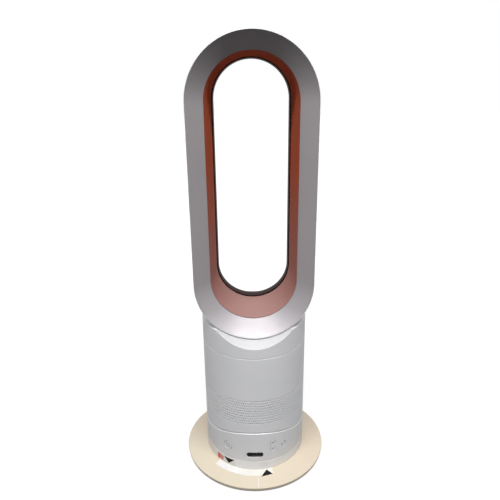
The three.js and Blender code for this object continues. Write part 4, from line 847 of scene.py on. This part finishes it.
def intake_row(shape, radius, side, row, lower):
    """A row of holes over a ring: the ring above it, and each hole's (rim, azimuth, height)."""
    columns = len(COLUMN_RADIALS)
    middle = BAND_LOW + INTAKE_PITCH * (row + 0.5)
    upper = casing_ring(shape, radius, lambda a: middle + INTAKE_PITCH / 2)
    borders = [(2 * k + row % 2) % columns for k in range(INTAKE_COLUMNS)]
    sides = shape.add([COLUMN_RADIALS[left] * radius + UP * middle for left in borders],
                      [COLUMN_RADIALS[left] * side for left in borders])
    rims = []
    for k, left in enumerate(borders):
        mid, right = (left + 1) % columns, (left + 2) % columns
        border = [sides[(k + 1) % INTAKE_COLUMNS], upper[right], upper[mid], upper[left], sides[k],
                  lower[left], lower[mid], lower[right]]
        azimuth = COLUMN_AZIMUTHS[mid]
        rim = hole_ring(shape, radius, INTAKE_HOLE + INTAKE_CHAMFER, azimuth, middle, side)
        for i, corner in enumerate(border):
            a, b, c = rim[2 * i], rim[2 * i + 1], rim[(2 * i + 2) % HOLE_POINTS]
            shape.faces += [[corner, b, a], [corner, border[(i + 1) % len(border)], c, b]]
        rims.append((rim, azimuth, middle))
    return upper, rims


def casing_wall(shape, radius, side):
    """One face of the wall: its lowest and highest ring, and the rims of its holes."""
    def height_below(azimuth, share):
        return (1 - share) * (casing_foot(azimuth) + FOOT_ROUND) + share * BAND_LOW

    below = [casing_ring(shape, radius, lambda a: height_below(a, share)) for share in SHARES_BELOW]
    top = below[-1]
    rims = []
    for row in range(INTAKE_ROWS):
        top, row_rims = intake_row(shape, radius, side, row, top)
        rims += row_rims
    above = [top]
    for k in range(1, RINGS_ABOVE + 1):
        height = BAND_HIGH + (CASING_TOP - TOP_ROUND - BAND_HIGH) * k / RINGS_ABOVE
        above.append(casing_ring(shape, radius, lambda a: height))
    for lower, upper in [*zip(below, below[1:]), *zip(above, above[1:])]:
        shape.join(lower, upper)
    return below[0], above[-1], rims


def round_end(shape, outer, inner, height_at, up, rounding):
    """The rounded top (up is 1) or foot (up is -1) of the wall, from its outer face to its inner one."""
    angles = [QUARTER * k / ROUND_STEPS for k in range(1, ROUND_STEPS + 1)]
    rings = [outer]
    for side, angle in [(1, a) for a in angles] + [(-1, a) for a in reversed(angles)]:
        inset = rounding * (1 - math.cos(angle))
        rise = -rounding * (1 - math.sin(angle)) * up
        rings.append(casing_ring(
            shape, BODY_RADIUS - inset if side > 0 else BODY_BORE + inset, lambda a: height_at(a) + rise,
            [r * math.cos(angle) * side + UP * math.sin(angle) * up for r in COLUMN_RADIALS]))
    rings = [*rings, inner][::up]
    for lower, upper in zip(rings, rings[1:]):
        shape.join(lower, upper)


def with_normals(ring, normals):
    """The same corners with other normals."""
    return [(k, normal) for (k, _), normal in zip(ring, normals)]


def hole_throat(shape, outer, inner, azimuth, middle):
    """The chamfer and the straight throat of one hole, between the rims on both faces of the wall."""
    throat = hole_ring(shape, BODY_RADIUS - INTAKE_CHAMFER, INTAKE_HOLE, azimuth, middle, 1)
    sideways = Vector((math.cos(azimuth), math.sin(azimuth), 0))
    inward = [-(sideways * math.cos(angle) + UP * math.sin(angle)) for angle in HOLE_ANGLES]
    slant = [(n + radial_at(azimuth)).normalized() for n in inward]
    shape.join(with_normals(outer, slant), with_normals(throat, slant))
    shape.join(with_normals(throat, inward), with_normals(inner, inward))


def main_casing():
    """The main body's wall: a level top, a curved foot, and staggered rows of fine holes all round."""
    shape = Shape()
    outer_foot, outer_top, outer_rims = casing_wall(shape, BODY_RADIUS, 1)
    first_inner_face = len(shape.faces)
    inner_foot, inner_top, inner_rims = casing_wall(shape, BODY_BORE, -1)
    shape.turn_inside_out(first_inner_face)
    round_end(shape, outer_top, inner_top, lambda a: CASING_TOP, 1, TOP_ROUND)
    round_end(shape, outer_foot, inner_foot, casing_foot, -1, FOOT_ROUND)
    for (outer, azimuth, middle), (inner, _, _) in zip(outer_rims, inner_rims):
        hole_throat(shape, outer, inner, azimuth, middle)
    return shape.outward()


# ---------- lower body ----------

BUTTONS = [  # name, azimuth, height, radius
    ("power_button", math.radians(-33), 45 * MM, 6.2 * MM),
    ("temperature_up_button", math.radians(19.3), 53.6 * MM, 3.7 * MM),
    ("temperature_down_button", math.radians(19.3), 43.7 * MM, 3.7 * MM),
    ("oscillation_button", math.radians(33), 46 * MM, 3.7 * MM),
]
BUTTON_SINK = 0.2 * MM
BUTTON_GAP = 0.42 * MM
BUTTON_BACK = 1 * MM
BUTTON_FLANGE = 1 * MM
HOLE_EDGE = 0.4 * MM
RAIL_OFFSET = 22 * MM
RAIL_SLOT = 2.5 * MM
RAIL_HALF_ANGLE = math.radians(7.15)
SEAM_CHAMFER = 1.6 * MM
CHAMFER_INSET = 0.8 * SEAM_CHAMFER
ROOM_TOP = TILT_AXIS - LOWER_TILT_RADIUS - TILT_PLATE


def to_wall(azimuth, height, radius):
    """Puts a flat piece's point on the wall at an azimuth and height; its z is the way out of the wall."""
    def put(point):
        return radial_at(azimuth + point.x / BODY_RADIUS) * (radius + point.z) + UP * (height + point.y)

    return put


def pill_ring(half, run, steps=24):
    """A pill's outline, from its half height and how far its ends' centres lie from the middle."""
    return (circle(half, steps, (run, 0), -QUARTER, QUARTER)
            + circle(half, steps, (-run, 0), QUARTER, 3 * QUARTER))


def wall_opening(outline_at, azimuth, height):
    """A cutter through the wall that opens out at its face; outline_at gives the outline grown by a gap."""
    over = 0.05 * MM
    narrow, wide = outline_at(BUTTON_GAP), outline_at(BUTTON_GAP + HOLE_EDGE + over)
    sections = [(-SHELL_WALL - CUT_INSIDE, narrow), (-HOLE_EDGE, narrow), (over, wide), (2 * CUT_PAST, wide)]
    return loft(sections, to_wall(azimuth, height, BODY_RADIUS))


def along_seam(corners_at):
    """A ring along the top edge of the wall; corners_at gives the (inset, height) corners of its section
    from the edge's height, the chamfer's foot and the chamfer's rise."""
    rows = []
    for i in range(LATHE_STEPS):
        azimuth = TURN * i / LATHE_STEPS
        edge = tilt_edge(BODY_RADIUS, azimuth, LOWER_TILT_RADIUS)
        low = edge - SEAM_CHAMFER
        rise = (tilt_edge(BODY_RADIUS - CHAMFER_INSET, azimuth, LOWER_TILT_RADIUS) - low) / CHAMFER_INSET
        rows.append([radial_at(azimuth) * (BODY_RADIUS - inward) + UP * z
                     for inward, z in corners_at(edge, low, rise)])
    return skin(rows, closed=True)


def seam_chamfer():
    """A cutter that takes the corner off the top of the wall, all round."""
    inner = CHAMFER_INSET + 0.3 * MM
    return along_seam(lambda edge, low, rise: [
        (-CUT_PAST, low - rise * CUT_PAST), (inner, low + rise * inner), (inner, edge + CUT_CLEAR),
        (-CUT_PAST, edge + CUT_CLEAR)])


def seam_glint_strip():
    """A thin polished strip that lies on the chamfer, paler than the silver as a painted glint along the seam; the
    lamp adds a real glint on its slant.
    """
    first, last = 0.03 * MM, 0.55 * MM
    under, over = 0.05 * MM, 0.04 * MM

    def section(edge, low, rise):
        size = math.hypot(rise, 1)
        return [(inward - rise / size * lift, low + rise * inward + lift / size)
                for inward, lift in ((first, -under), (last, -under), (last, over), (first, over))]

    return along_seam(section)


def tilt_drum():
    """A cutter about the tilt axis, as wide as the lower body's curved top."""
    half = BODY_RADIUS + CUT_CLEAR
    return prism(circle(LOWER_TILT_RADIUS, 3 * LATHE_STEPS, (0, TILT_AXIS)), -half, half, along_x)


def rail_slot(side):
    """A cutter for the slot that one tilt rail slides in."""
    steps = 8
    angles = [-RAIL_HALF_ANGLE + 2 * RAIL_HALF_ANGLE * i / steps for i in range(steps + 1)]
    outline = []
    for radius, order in ((LOWER_TILT_RADIUS - CUT_PAST, 1), (LOWER_TILT_RADIUS + TILT_PLATE + CUT_PAST, -1)):
        outline += [(radius * math.sin(a), TILT_AXIS - radius * math.cos(a)) for a in angles[::order]]
    middle = side * RAIL_OFFSET
    return prism(outline, middle - RAIL_SLOT, middle + RAIL_SLOT, along_x)


def lower_shell():
    """The lower body's shell: a curved top with a chamfer, rail slots, and holes for buttons and window."""
    low = COLLAR_SEAM + SEAM / 2
    outline = circle(BODY_RADIUS, LATHE_STEPS)
    whole = loft([(low, circle(BODY_RADIUS - HOLE_EDGE, LATHE_STEPS)), (low + HOLE_EDGE, outline),
                  (ROOM_TOP + TILT_PLATE + 3 * CUT_CLEAR, outline)])
    room = prism(circle(BODY_BORE, LATHE_STEPS), low - CUT_FAR, ROOM_TOP)
    cutters = [tilt_drum(), room, rail_slot(-1), rail_slot(1), seam_chamfer()]
    cutters += [wall_opening(lambda gap: circle(radius + gap, DISC_STEPS), azimuth, height)
                for _, azimuth, height, radius in BUTTONS]
    cutters.append(wall_opening(lambda gap: pill_ring(DISPLAY_HALF_TALL + gap, DISPLAY_HALF_RUN),
                                DISPLAY_AZIMUTH, DISPLAY_HEIGHT))
    surfaces = [
        on_cylinder(BODY_RADIUS),
        on_cylinder(BODY_BORE, outward=False),
        on_cylinder(LOWER_TILT_RADIUS, UP * TILT_AXIS, 0, False),
        on_plane(low, False),
        on_plane(ROOM_TOP, False),
    ]
    return carved("lower_shell", whole, cutters, 0, surfaces)


def display_glass():
    """The curved window: a pill with a rounded front edge that fills its hole."""
    put = to_wall(DISPLAY_AZIMUTH, DISPLAY_HEIGHT, BODY_RADIUS - DISPLAY_SINK)
    half = DISPLAY_HALF_TALL
    back = BODY_BORE - BODY_RADIUS + DISPLAY_SINK
    shares = (0.02, 0.3, 0.6, 0.85)
    levels = [(half * share, back, 0, -1) for share in shares]
    side = [(-half, back, 0), (half, back, 0.1 * MM), (half, 0, DISPLAY_EDGE), (-half, 0, 0)]
    levels += half_rounded(side, 5)
    levels += [(half * share, 0, 0, 1) for share in reversed(shares)]
    shape = Shape()
    rings = []
    for half_here, depth, out, up in levels:
        spots = [Vector((x, y, depth)) for x, y in pill_ring(half_here, DISPLAY_HALF_RUN)]
        ways = [Vector((out * x, out * y, up)) for x, y in pill_ring(1, 0)]
        rings.append(placed_ring(shape, put, spots, ways))
    for ring, after in zip(rings, rings[1:]):
        shape.join(ring, after)
    for ring, order in ((rings[0], -1), (rings[-1], 1)):
        size = len(ring)
        for i in range(size // 2 - 1):
            shape.faces.append([ring[i], ring[i + 1], ring[size - 2 - i], ring[size - 1 - i]][::order])
    return shape.outward()


# ---------- buttons ----------

PRINT_UNDER = 0.02 * MM
PRINT_OVER = 0.012 * MM
RING_MARK = (2.9 * MM, 0.6 * MM)
SWING_MARK = (1.9 * MM, 0.35 * MM)
BAR_HALF_WIDTH = 0.3 * MM
BAR_LOW = 0.9 * MM
BAR_HIGH = 3.5 * MM
DOT_RADIUS = 0.95 * MM


def button_cap(azimuth, height, radius):
    """A round cap with a flange behind the wall."""
    back = BODY_BORE - BUTTON_BACK - BUTTON_FLANGE - BODY_RADIUS
    flange = radius + BUTTON_FLANGE
    side = half_rounded([
        (-flange, back, 0), (flange, back, 0.15 * MM), (flange, back + BUTTON_FLANGE, 0.15 * MM),
        (radius, back + BUTTON_FLANGE, 0.1 * MM), (radius, -BUTTON_SINK, 0.4 * MM),
        (-radius, -BUTTON_SINK, 0)], 4)
    shares = (0, 0.12, 0.3, 0.5, 0.7, 0.85)
    behind = [(flange * share, back, 0, -1) for share in shares]
    face = [(radius * share, -BUTTON_SINK, 0, 1) for share in reversed(shares)]
    return disc_stack(behind + side + face, to_wall(azimuth, height, BODY_RADIUS))


def sheet(outline, low, high, put):
    """A thin sheet with a convex outline of close points, bent by put to lie on a surface."""
    middle = Vector((sum(x for x, _ in outline), sum(y for _, y in outline))) / len(outline)
    shape = Shape()
    edges = []
    for depth, way in ((low, -1), (high, 1)):
        rings = []
        for share in (1, 0.6, 0.3, 0.1):
            spots = [Vector((middle.x + (x - middle.x) * share, middle.y + (y - middle.y) * share, depth))
                     for x, y in outline]
            rings.append(placed_ring(shape, put, spots, [UP * way] * len(spots)))
        edges.append(with_normals(rings[0], [None] * len(outline)))
        shape.faces.append(rings[-1][::way])
        for pair in zip(rings, rings[1:]):
            shape.join(*pair[::way])
    shape.join(*edges)
    return shape.outward()


def arc_mark(radius, width, first, last, put, steps=40):
    """Part of a printed ring on a button, between two angles in degrees."""
    outer, inner = [circle(r, steps, first=math.radians(first), last=math.radians(last))
                    for r in (radius, radius - width)]
    return skin([[put(Vector((*spot, depth))) for spot, depth in
                  ((out, -PRINT_UNDER), (out, PRINT_OVER), (into, PRINT_OVER), (into, -PRINT_UNDER))]
                 for out, into in zip(outer, inner)])


def button_marks(name, put):
    """The printed marks of a button, as (name, shape) pairs."""
    if name == "power_button":
        bar = [(-BAR_HALF_WIDTH, BAR_LOW), (BAR_HALF_WIDTH, BAR_LOW), (BAR_HALF_WIDTH, BAR_HIGH),
               (-BAR_HALF_WIDTH, BAR_HIGH)]
        return [("power_icon_ring", arc_mark(*RING_MARK, 125, 415, put)),
                ("power_icon_bar", sheet(bar, -PRINT_UNDER, PRINT_OVER, put))]
    if name == "oscillation_button":
        return [("swing_icon_" + word, arc_mark(*SWING_MARK, first, first + 120, put))
                for word, first in (("left", 120), ("right", -60))]
    return [(name + "_dot", sheet(circle(DOT_RADIUS, 20), -PRINT_UNDER, PRINT_OVER, put))]


def build_buttons():
    for name, azimuth, height, radius in BUTTONS:
        piece(name + "_cap", button_cap(azimuth, height, radius), SILVER, name, [name])
        for mark_name, mark in button_marks(name, to_wall(azimuth, height, BODY_RADIUS - BUTTON_SINK)):
            piece(mark_name, mark, ICON_GREY, name)


# ---------- base ----------

PLATE_FOOT_DRAFT = 1 * MM
PLATE_WALL = 2.2 * MM
PLATE_FLANGE = 7.9 * MM
RIM_TOP = plate_low.z + 5.4 * MM
CROWN = plate_high.z
SHOULDER = BODY_RADIUS + 1.6 * MM
GLAND_HEIGHT = (inlet_low.z + inlet_high.z) / 2
GLAND_RADIUS = 5 * MM
GLAND_BORE = 3.3 * MM
GLAND_FLANGE = 1.2 * MM
GLAND_GAP = 0.3 * MM
GLAND_STEPS = 64
GLAND_HOLE_STEPS = 40
COLLAR_FLANGE = 10.9 * MM
FOOT_DISH = 0.25 * MM


def base_cover():
    foot = PLATE_RADIUS - PLATE_FOOT_DRAFT
    inner = BODY_RADIUS - PLATE_FLANGE
    return turned(rounded([
        (foot, plate_low.z, 0.3 * MM),
        (PLATE_RADIUS, RIM_TOP, 1.1 * MM),
        (SHOULDER, CROWN, 12 * MM),
        (inner, CROWN, 0.3 * MM),
        (inner, CROWN - PLATE_WALL, 0.3 * MM),
        (SHOULDER, CROWN - PLATE_WALL, 5 * MM),
        (foot - PLATE_WALL / 2, RIM_TOP - PLATE_WALL, 0.4 * MM),
        (foot - PLATE_WALL, plate_low.z, 0.3 * MM),
    ], steps=6))


def collar_shell():
    low, top = collar_low.z, collar_high.z
    flange = BODY_RADIUS - COLLAR_FLANGE
    ring = turned(rounded([
        (flange, low, SOFT), (BODY_RADIUS, low, 0.4 * MM), (BODY_RADIUS, top, 0.7 * MM),
        (BODY_BORE, top, 0.3 * MM), (BODY_BORE, low + SHELL_WALL, 0.3 * MM),
        (flange, low + SHELL_WALL, 0.3 * MM),
    ], steps=4))
    rim = circle(GLAND_RADIUS + GLAND_GAP, GLAND_HOLE_STEPS, (0, GLAND_HEIGHT))
    hole = prism(rim, BODY_BORE - CUT_INSIDE, BODY_RADIUS + CUT_CLEAR, along_y)
    surfaces = [on_cylinder(BODY_RADIUS), on_cylinder(BODY_BORE, outward=False), on_plane(top)]
    return carved("collar_shell", ring, [hole], 0, surfaces)


def inlet_bushing():
    """The rubber bushing at the back: a flange outside, a nose, and a flange inside."""
    flange = GLAND_RADIUS + 1 * MM
    inner_face = BODY_BORE - 0.8 * MM
    outer_face = BODY_RADIUS + SEAM
    outline = rounded([
        (GLAND_BORE, inlet_low.y, 0.3 * MM), (flange, inlet_low.y, 0.4 * MM), (flange, inner_face, SOFT),
        (GLAND_RADIUS, inner_face, 0.1 * MM), (GLAND_RADIUS, outer_face, 0.1 * MM),
        (flange, outer_face, SOFT), (flange, outer_face + GLAND_FLANGE, 0.5 * MM),
        (GLAND_BORE + 1.3 * MM, outer_face + GLAND_FLANGE, SOFT),
        (GLAND_BORE + 1.1 * MM, inlet_high.y, 0.4 * MM), (GLAND_BORE, inlet_high.y, 0.4 * MM),
    ], steps=4)
    return carried(outline, arc_stations(GLAND_HEIGHT, 0, TURN, GLAND_STEPS)[:-1])


def rubber_foot(low, high):
    """A round foot with a soft edge and a shallow dish under it."""
    radius = (high.x - low.x) / 2
    centre = Vector(((low.x + high.x) / 2, (low.y + high.y) / 2, 0))
    top = high.z
    dish = low.z + FOOT_DISH
    side = half_rounded([(-radius, low.z, 0), (radius, low.z, 0.35 * MM), (radius, top, 0.1 * MM),
                         (-radius, top, 0)], 4)
    face = [(radius * share, top, 0, 1) for share in (0.7, 0.35, 0)]
    under = [(0, dish, 0, -1), (radius * 0.3, dish, 0, -1), (radius * 0.6, dish, 0, -1),
             (radius * 0.66, low.z + 0.1 * MM, -0.7, -0.7), (radius * 0.7, low.z, 0, -1)]
    return disc_stack(under + side + face, lambda p: p + centre)


def build_base():
    piece("base_cover", base_cover(), CREAM, "base", ["base_plate"])
    piece("collar_shell", collar_shell(), COLLAR_SILVER_PAINTED_BOUNCE, "base", ["base_collar"])
    piece("inlet_bushing", inlet_bushing(), RUBBER, "base", ["cord_inlet"])
    for i in range(1, 5):
        node_name = f"rubber_foot_{i}"
        piece(f"soft_foot_{i}", rubber_foot(*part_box(node_name)), RUBBER, "base", [node_name])


# ---------- stickers ----------

STICKER_THICK = 0.1 * MM
STICKER_LIFT = 0.005 * MM

WALL_STICKERS = [  # name, finish, layer, corners as (azimuth in degrees, height in mm)
    ("label_body", LABEL_PALE, 0, [(-50.4, 22.4), (-50.6, 12.3), (-24.4, 12.3), (-24.4, 23.2)]),
    ("label_red_patch", LABEL_RED, 1, [(-48.8, 21.8), (-49.6, 12.9), (-45.0, 13.6), (-44.5, 21.4)]),
    ("label_red_stripe_1", LABEL_RED, 1, [(-43.9, 21.3), (-44.4, 13.7), (-42.9, 13.9), (-42.3, 21.2)]),
    ("label_red_stripe_2", LABEL_RED, 1, [(-41.6, 21.1), (-42.2, 14.0), (-40.5, 14.3), (-39.7, 21.0)]),
    ("arrow_down", LABEL_BLACK, 1, [(-38.6, 22.2), (-32.5, 13.9), (-25.2, 22.2)]),
]
PLATE_ARROW = [(14.6, -72.1), (6.9, -83.3), (22.9, -78.9)]  # x and y in mm


def close_points(corners, steps):
    """Corners with more points on the straight lines between them."""
    outline = []
    for (x, y), (next_x, next_y) in zip(corners, corners[1:] + corners[:1]):
        outline += [(x + (next_x - x) * k / steps, y + (next_y - y) * k / steps) for k in range(steps)]
    return outline


def sticker_sheet(corners, layer, put, steps):
    low = STICKER_LIFT + layer * STICKER_THICK
    return sheet(close_points(corners, steps), low, low + STICKER_THICK, put)


def plate_height(radius):
    """The height of the base cover's top at a radius."""
    share = max(0, (radius - SHOULDER) / (PLATE_RADIUS - SHOULDER))
    return CROWN + (RIM_TOP - CROWN) * share


def on_plate(point):
    return Vector((point.x, point.y, plate_height(math.hypot(point.x, point.y)) + point.z))


def plate_band(inner, outer, first, last, steps=40):
    """A curved strip on the base cover between two radii and two azimuths in degrees."""
    radii = [inner, SHOULDER, outer] if inner < SHOULDER < outer else [inner, outer]
    corners = [(r, STICKER_LIFT) for r in radii] + [(r, STICKER_LIFT + STICKER_THICK) for r in radii[::-1]]
    rows = []
    for i in range(steps + 1):
        out = radial_at(math.radians(first + (last - first) * i / steps))
        rows.append([out * r + UP * (plate_height(r) + lift) for r, lift in corners])
    return skin(rows)


def build_stickers():
    for name, material, layer, corners in WALL_STICKERS:
        spots = [(math.radians(azimuth) * BODY_RADIUS, height * MM) for azimuth, height in corners]
        piece(name, sticker_sheet(spots, layer, to_wall(0, 0, BODY_RADIUS), 8), material, "base")
    left = plate_band(71.7 * MM, 81.4 * MM, -45, -15)
    right = plate_band(71.7 * MM, 82.2 * MM, -14.8, 17.5)
    arrow = sticker_sheet([(x * MM, y * MM) for x, y in PLATE_ARROW], 1, on_plate, 10)
    line = plate_band(84.6 * MM, 100 * MM, 1.35, 1.85)
    piece("label_plate_left", left, LABEL_WHITE, "base")
    piece("label_plate_right", right, LABEL_PALE, "base")
    piece("arrow_up", arrow, LABEL_BLACK, "base")
    piece("index_line", line, LABEL_WHITE, "base")


# ---------- stage, lamps and camera ----------

CAMERA_PLACE = Vector((-9.4553, -624.2983, 535.5699)) * MM
CAMERA_AHEAD = Vector((0.00809258, 0.94144572, -0.33706744))
CAMERA_RIGHT = Vector((0.99984625, -0.01286173, -0.01191835))
CAMERA_LENS = 35.884
SENSOR_WIDTH = 36.0

LAMP_PLACE = Vector((0, -0.96, 1.96))
LAMP_AIM = Vector((0, -0.04, 0.3))
LAMP_SIZE = (2.6, 0.15)
LAMP_POWER = 55

WORLD_TOP = 0.5
WORLD_MIDDLE = 0.17
WORLD_BOTTOM = 0.02
FLOOR_SIZE = 12.0
FLOOR_THICK = 0.02
FLOOR_BOUNCE = 0.10
FLOOR_SHADE = 0.25
FLOOR_GLOW = 0.8
GLOW_NEAR = 0.22
GLOW_FAR = 0.9


def grey(value):
    return value, value, value


def build_camera():
    data = bpy.data.cameras.new("camera")
    data.lens = CAMERA_LENS
    data.sensor_width = SENSOR_WIDTH
    data.clip_start = 0.01
    data.clip_end = 50
    camera = place("camera", data)
    right, ahead = CAMERA_RIGHT.normalized(), CAMERA_AHEAD.normalized()
    turn = Matrix((right, right.cross(ahead), -ahead)).transposed()
    camera.matrix_world = Matrix.Translation(CAMERA_PLACE) @ turn.to_4x4()
    bpy.context.scene.camera = camera


def build_lamp():
    """One long lamp high above the front, aimed at the body."""
    data = bpy.data.lights.new("key", "AREA")
    data.shape = "RECTANGLE"
    data.size, data.size_y = LAMP_SIZE
    data.energy = LAMP_POWER
    turn = (LAMP_AIM - LAMP_PLACE).normalized().to_track_quat("-Z", "Y").to_matrix().to_4x4()
    place("key", data).matrix_world = Matrix.Translation(LAMP_PLACE) @ turn


def seen_rays(n):
    """1 on camera, glossy and transmission rays, and 0 on the others."""
    path = n.node("LightPath").outputs
    seen = n.maths("MAXIMUM", path["Is Camera Ray"], path["Is Glossy Ray"])
    return n.maths("MAXIMUM", seen, path["Is Transmission Ray"])


def build_world():
    """White where it is seen, and a sky that is bright above and dark below where it lights the object."""
    world = bpy.data.worlds.new("studio")
    world.use_nodes = True
    bpy.context.scene.world = world
    n = Nodes(world.node_tree)
    upward = n.node("SeparateXYZ", Vector=n.coordinates["Generated"]).outputs["Z"]
    sky = n.node("ValToRGB", Fac=n.spread(upward, 0, 1, -1, 1))
    stops = sky.color_ramp.elements
    stops[0].position = 0.42
    stops[0].color = (*grey(WORLD_BOTTOM), 1)
    stops[1].position = 1
    stops[1].color = (*grey(WORLD_TOP), 1)
    stops.new(0.55).color = (*grey(WORLD_MIDDLE), 1)
    lighting = n.blend(seen_rays(n), sky.outputs["Color"], grey(1))
    n.set(n.tree.nodes["Background"].inputs["Color"], lighting)


def floor_finish():
    """White with a faint shadow where it is seen, and a weak bounce elsewhere."""
    n = Finish("floor")
    n.tree.nodes.remove(n.tree.nodes["Principled BSDF"])
    away = n.node("VectorMath", Vector=n.place)
    away.operation = "LENGTH"
    ramp = n.node("MapRange", Value=away.outputs["Value"], From_Min=GLOW_NEAR, From_Max=GLOW_FAR,
                  To_Min=FLOOR_GLOW, To_Max=1)
    ramp.interpolation_type = "SMOOTHSTEP"
    both = n.node("AddShader")
    n.set(both.inputs[0], n.node("BsdfDiffuse", Color=grey(FLOOR_SHADE)).outputs["BSDF"])
    n.set(both.inputs[1], n.node("Emission", Strength=ramp.outputs["Result"]).outputs["Emission"])
    mix = n.node("MixShader", Fac=seen_rays(n))
    n.set(mix.inputs[1], n.node("BsdfDiffuse", Color=grey(FLOOR_BOUNCE)).outputs["BSDF"])
    n.set(mix.inputs[2], both.outputs["Shader"])
    n.set(n.tree.nodes["Material Output"].inputs["Surface"], mix.outputs["Shader"])
    return n.material


def build_floor():
    half = FLOOR_SIZE / 2
    shape = prism([(-half, -half), (half, -half), (half, half), (-half, half)], -FLOOR_THICK, 0)
    floor = place("floor", shape.bare_mesh("floor"))
    floor.data.materials.append(floor_finish())


# ---------- assembly ----------

finish_solids()
piece("loop_outer_shell", loop_outer_shell(), SILVER, "main_body", ["loop_outer_casing"])
piece("loop_bevel_face", loop_bevel_face(), NICKEL, "main_body", ["loop_front_bevel"])
piece("loop_copper_wall", loop_copper_wall(), COPPER, "main_body", ["loop_inner_duct"])
piece("loop_slot_lip", loop_slot_lip(), LIP_PAINTED_SHADE, "main_body", ["loop_outlet_lip"])
piece("neck_shell", neck_shell(), SILVER, "main_body", ["loop_neck"])
piece("main_casing", main_casing(), SILVER, "main_body", ["main_body_casing"])
piece("lower_shell", lower_shell(), SILVER, "lower_body", ["lower_body_casing"])
piece("seam_glint_strip", seam_glint_strip(), POLISHED_SEAM_GLINT, "lower_body")
piece("display_glass", display_glass(), BLACK_GLASS, "lower_body", ["display_window"])
build_buttons()
build_base()
build_stickers()
build_camera()
build_world()
build_floor()
build_lamp()

bpy.context.scene.view_settings.view_transform = "Standard"
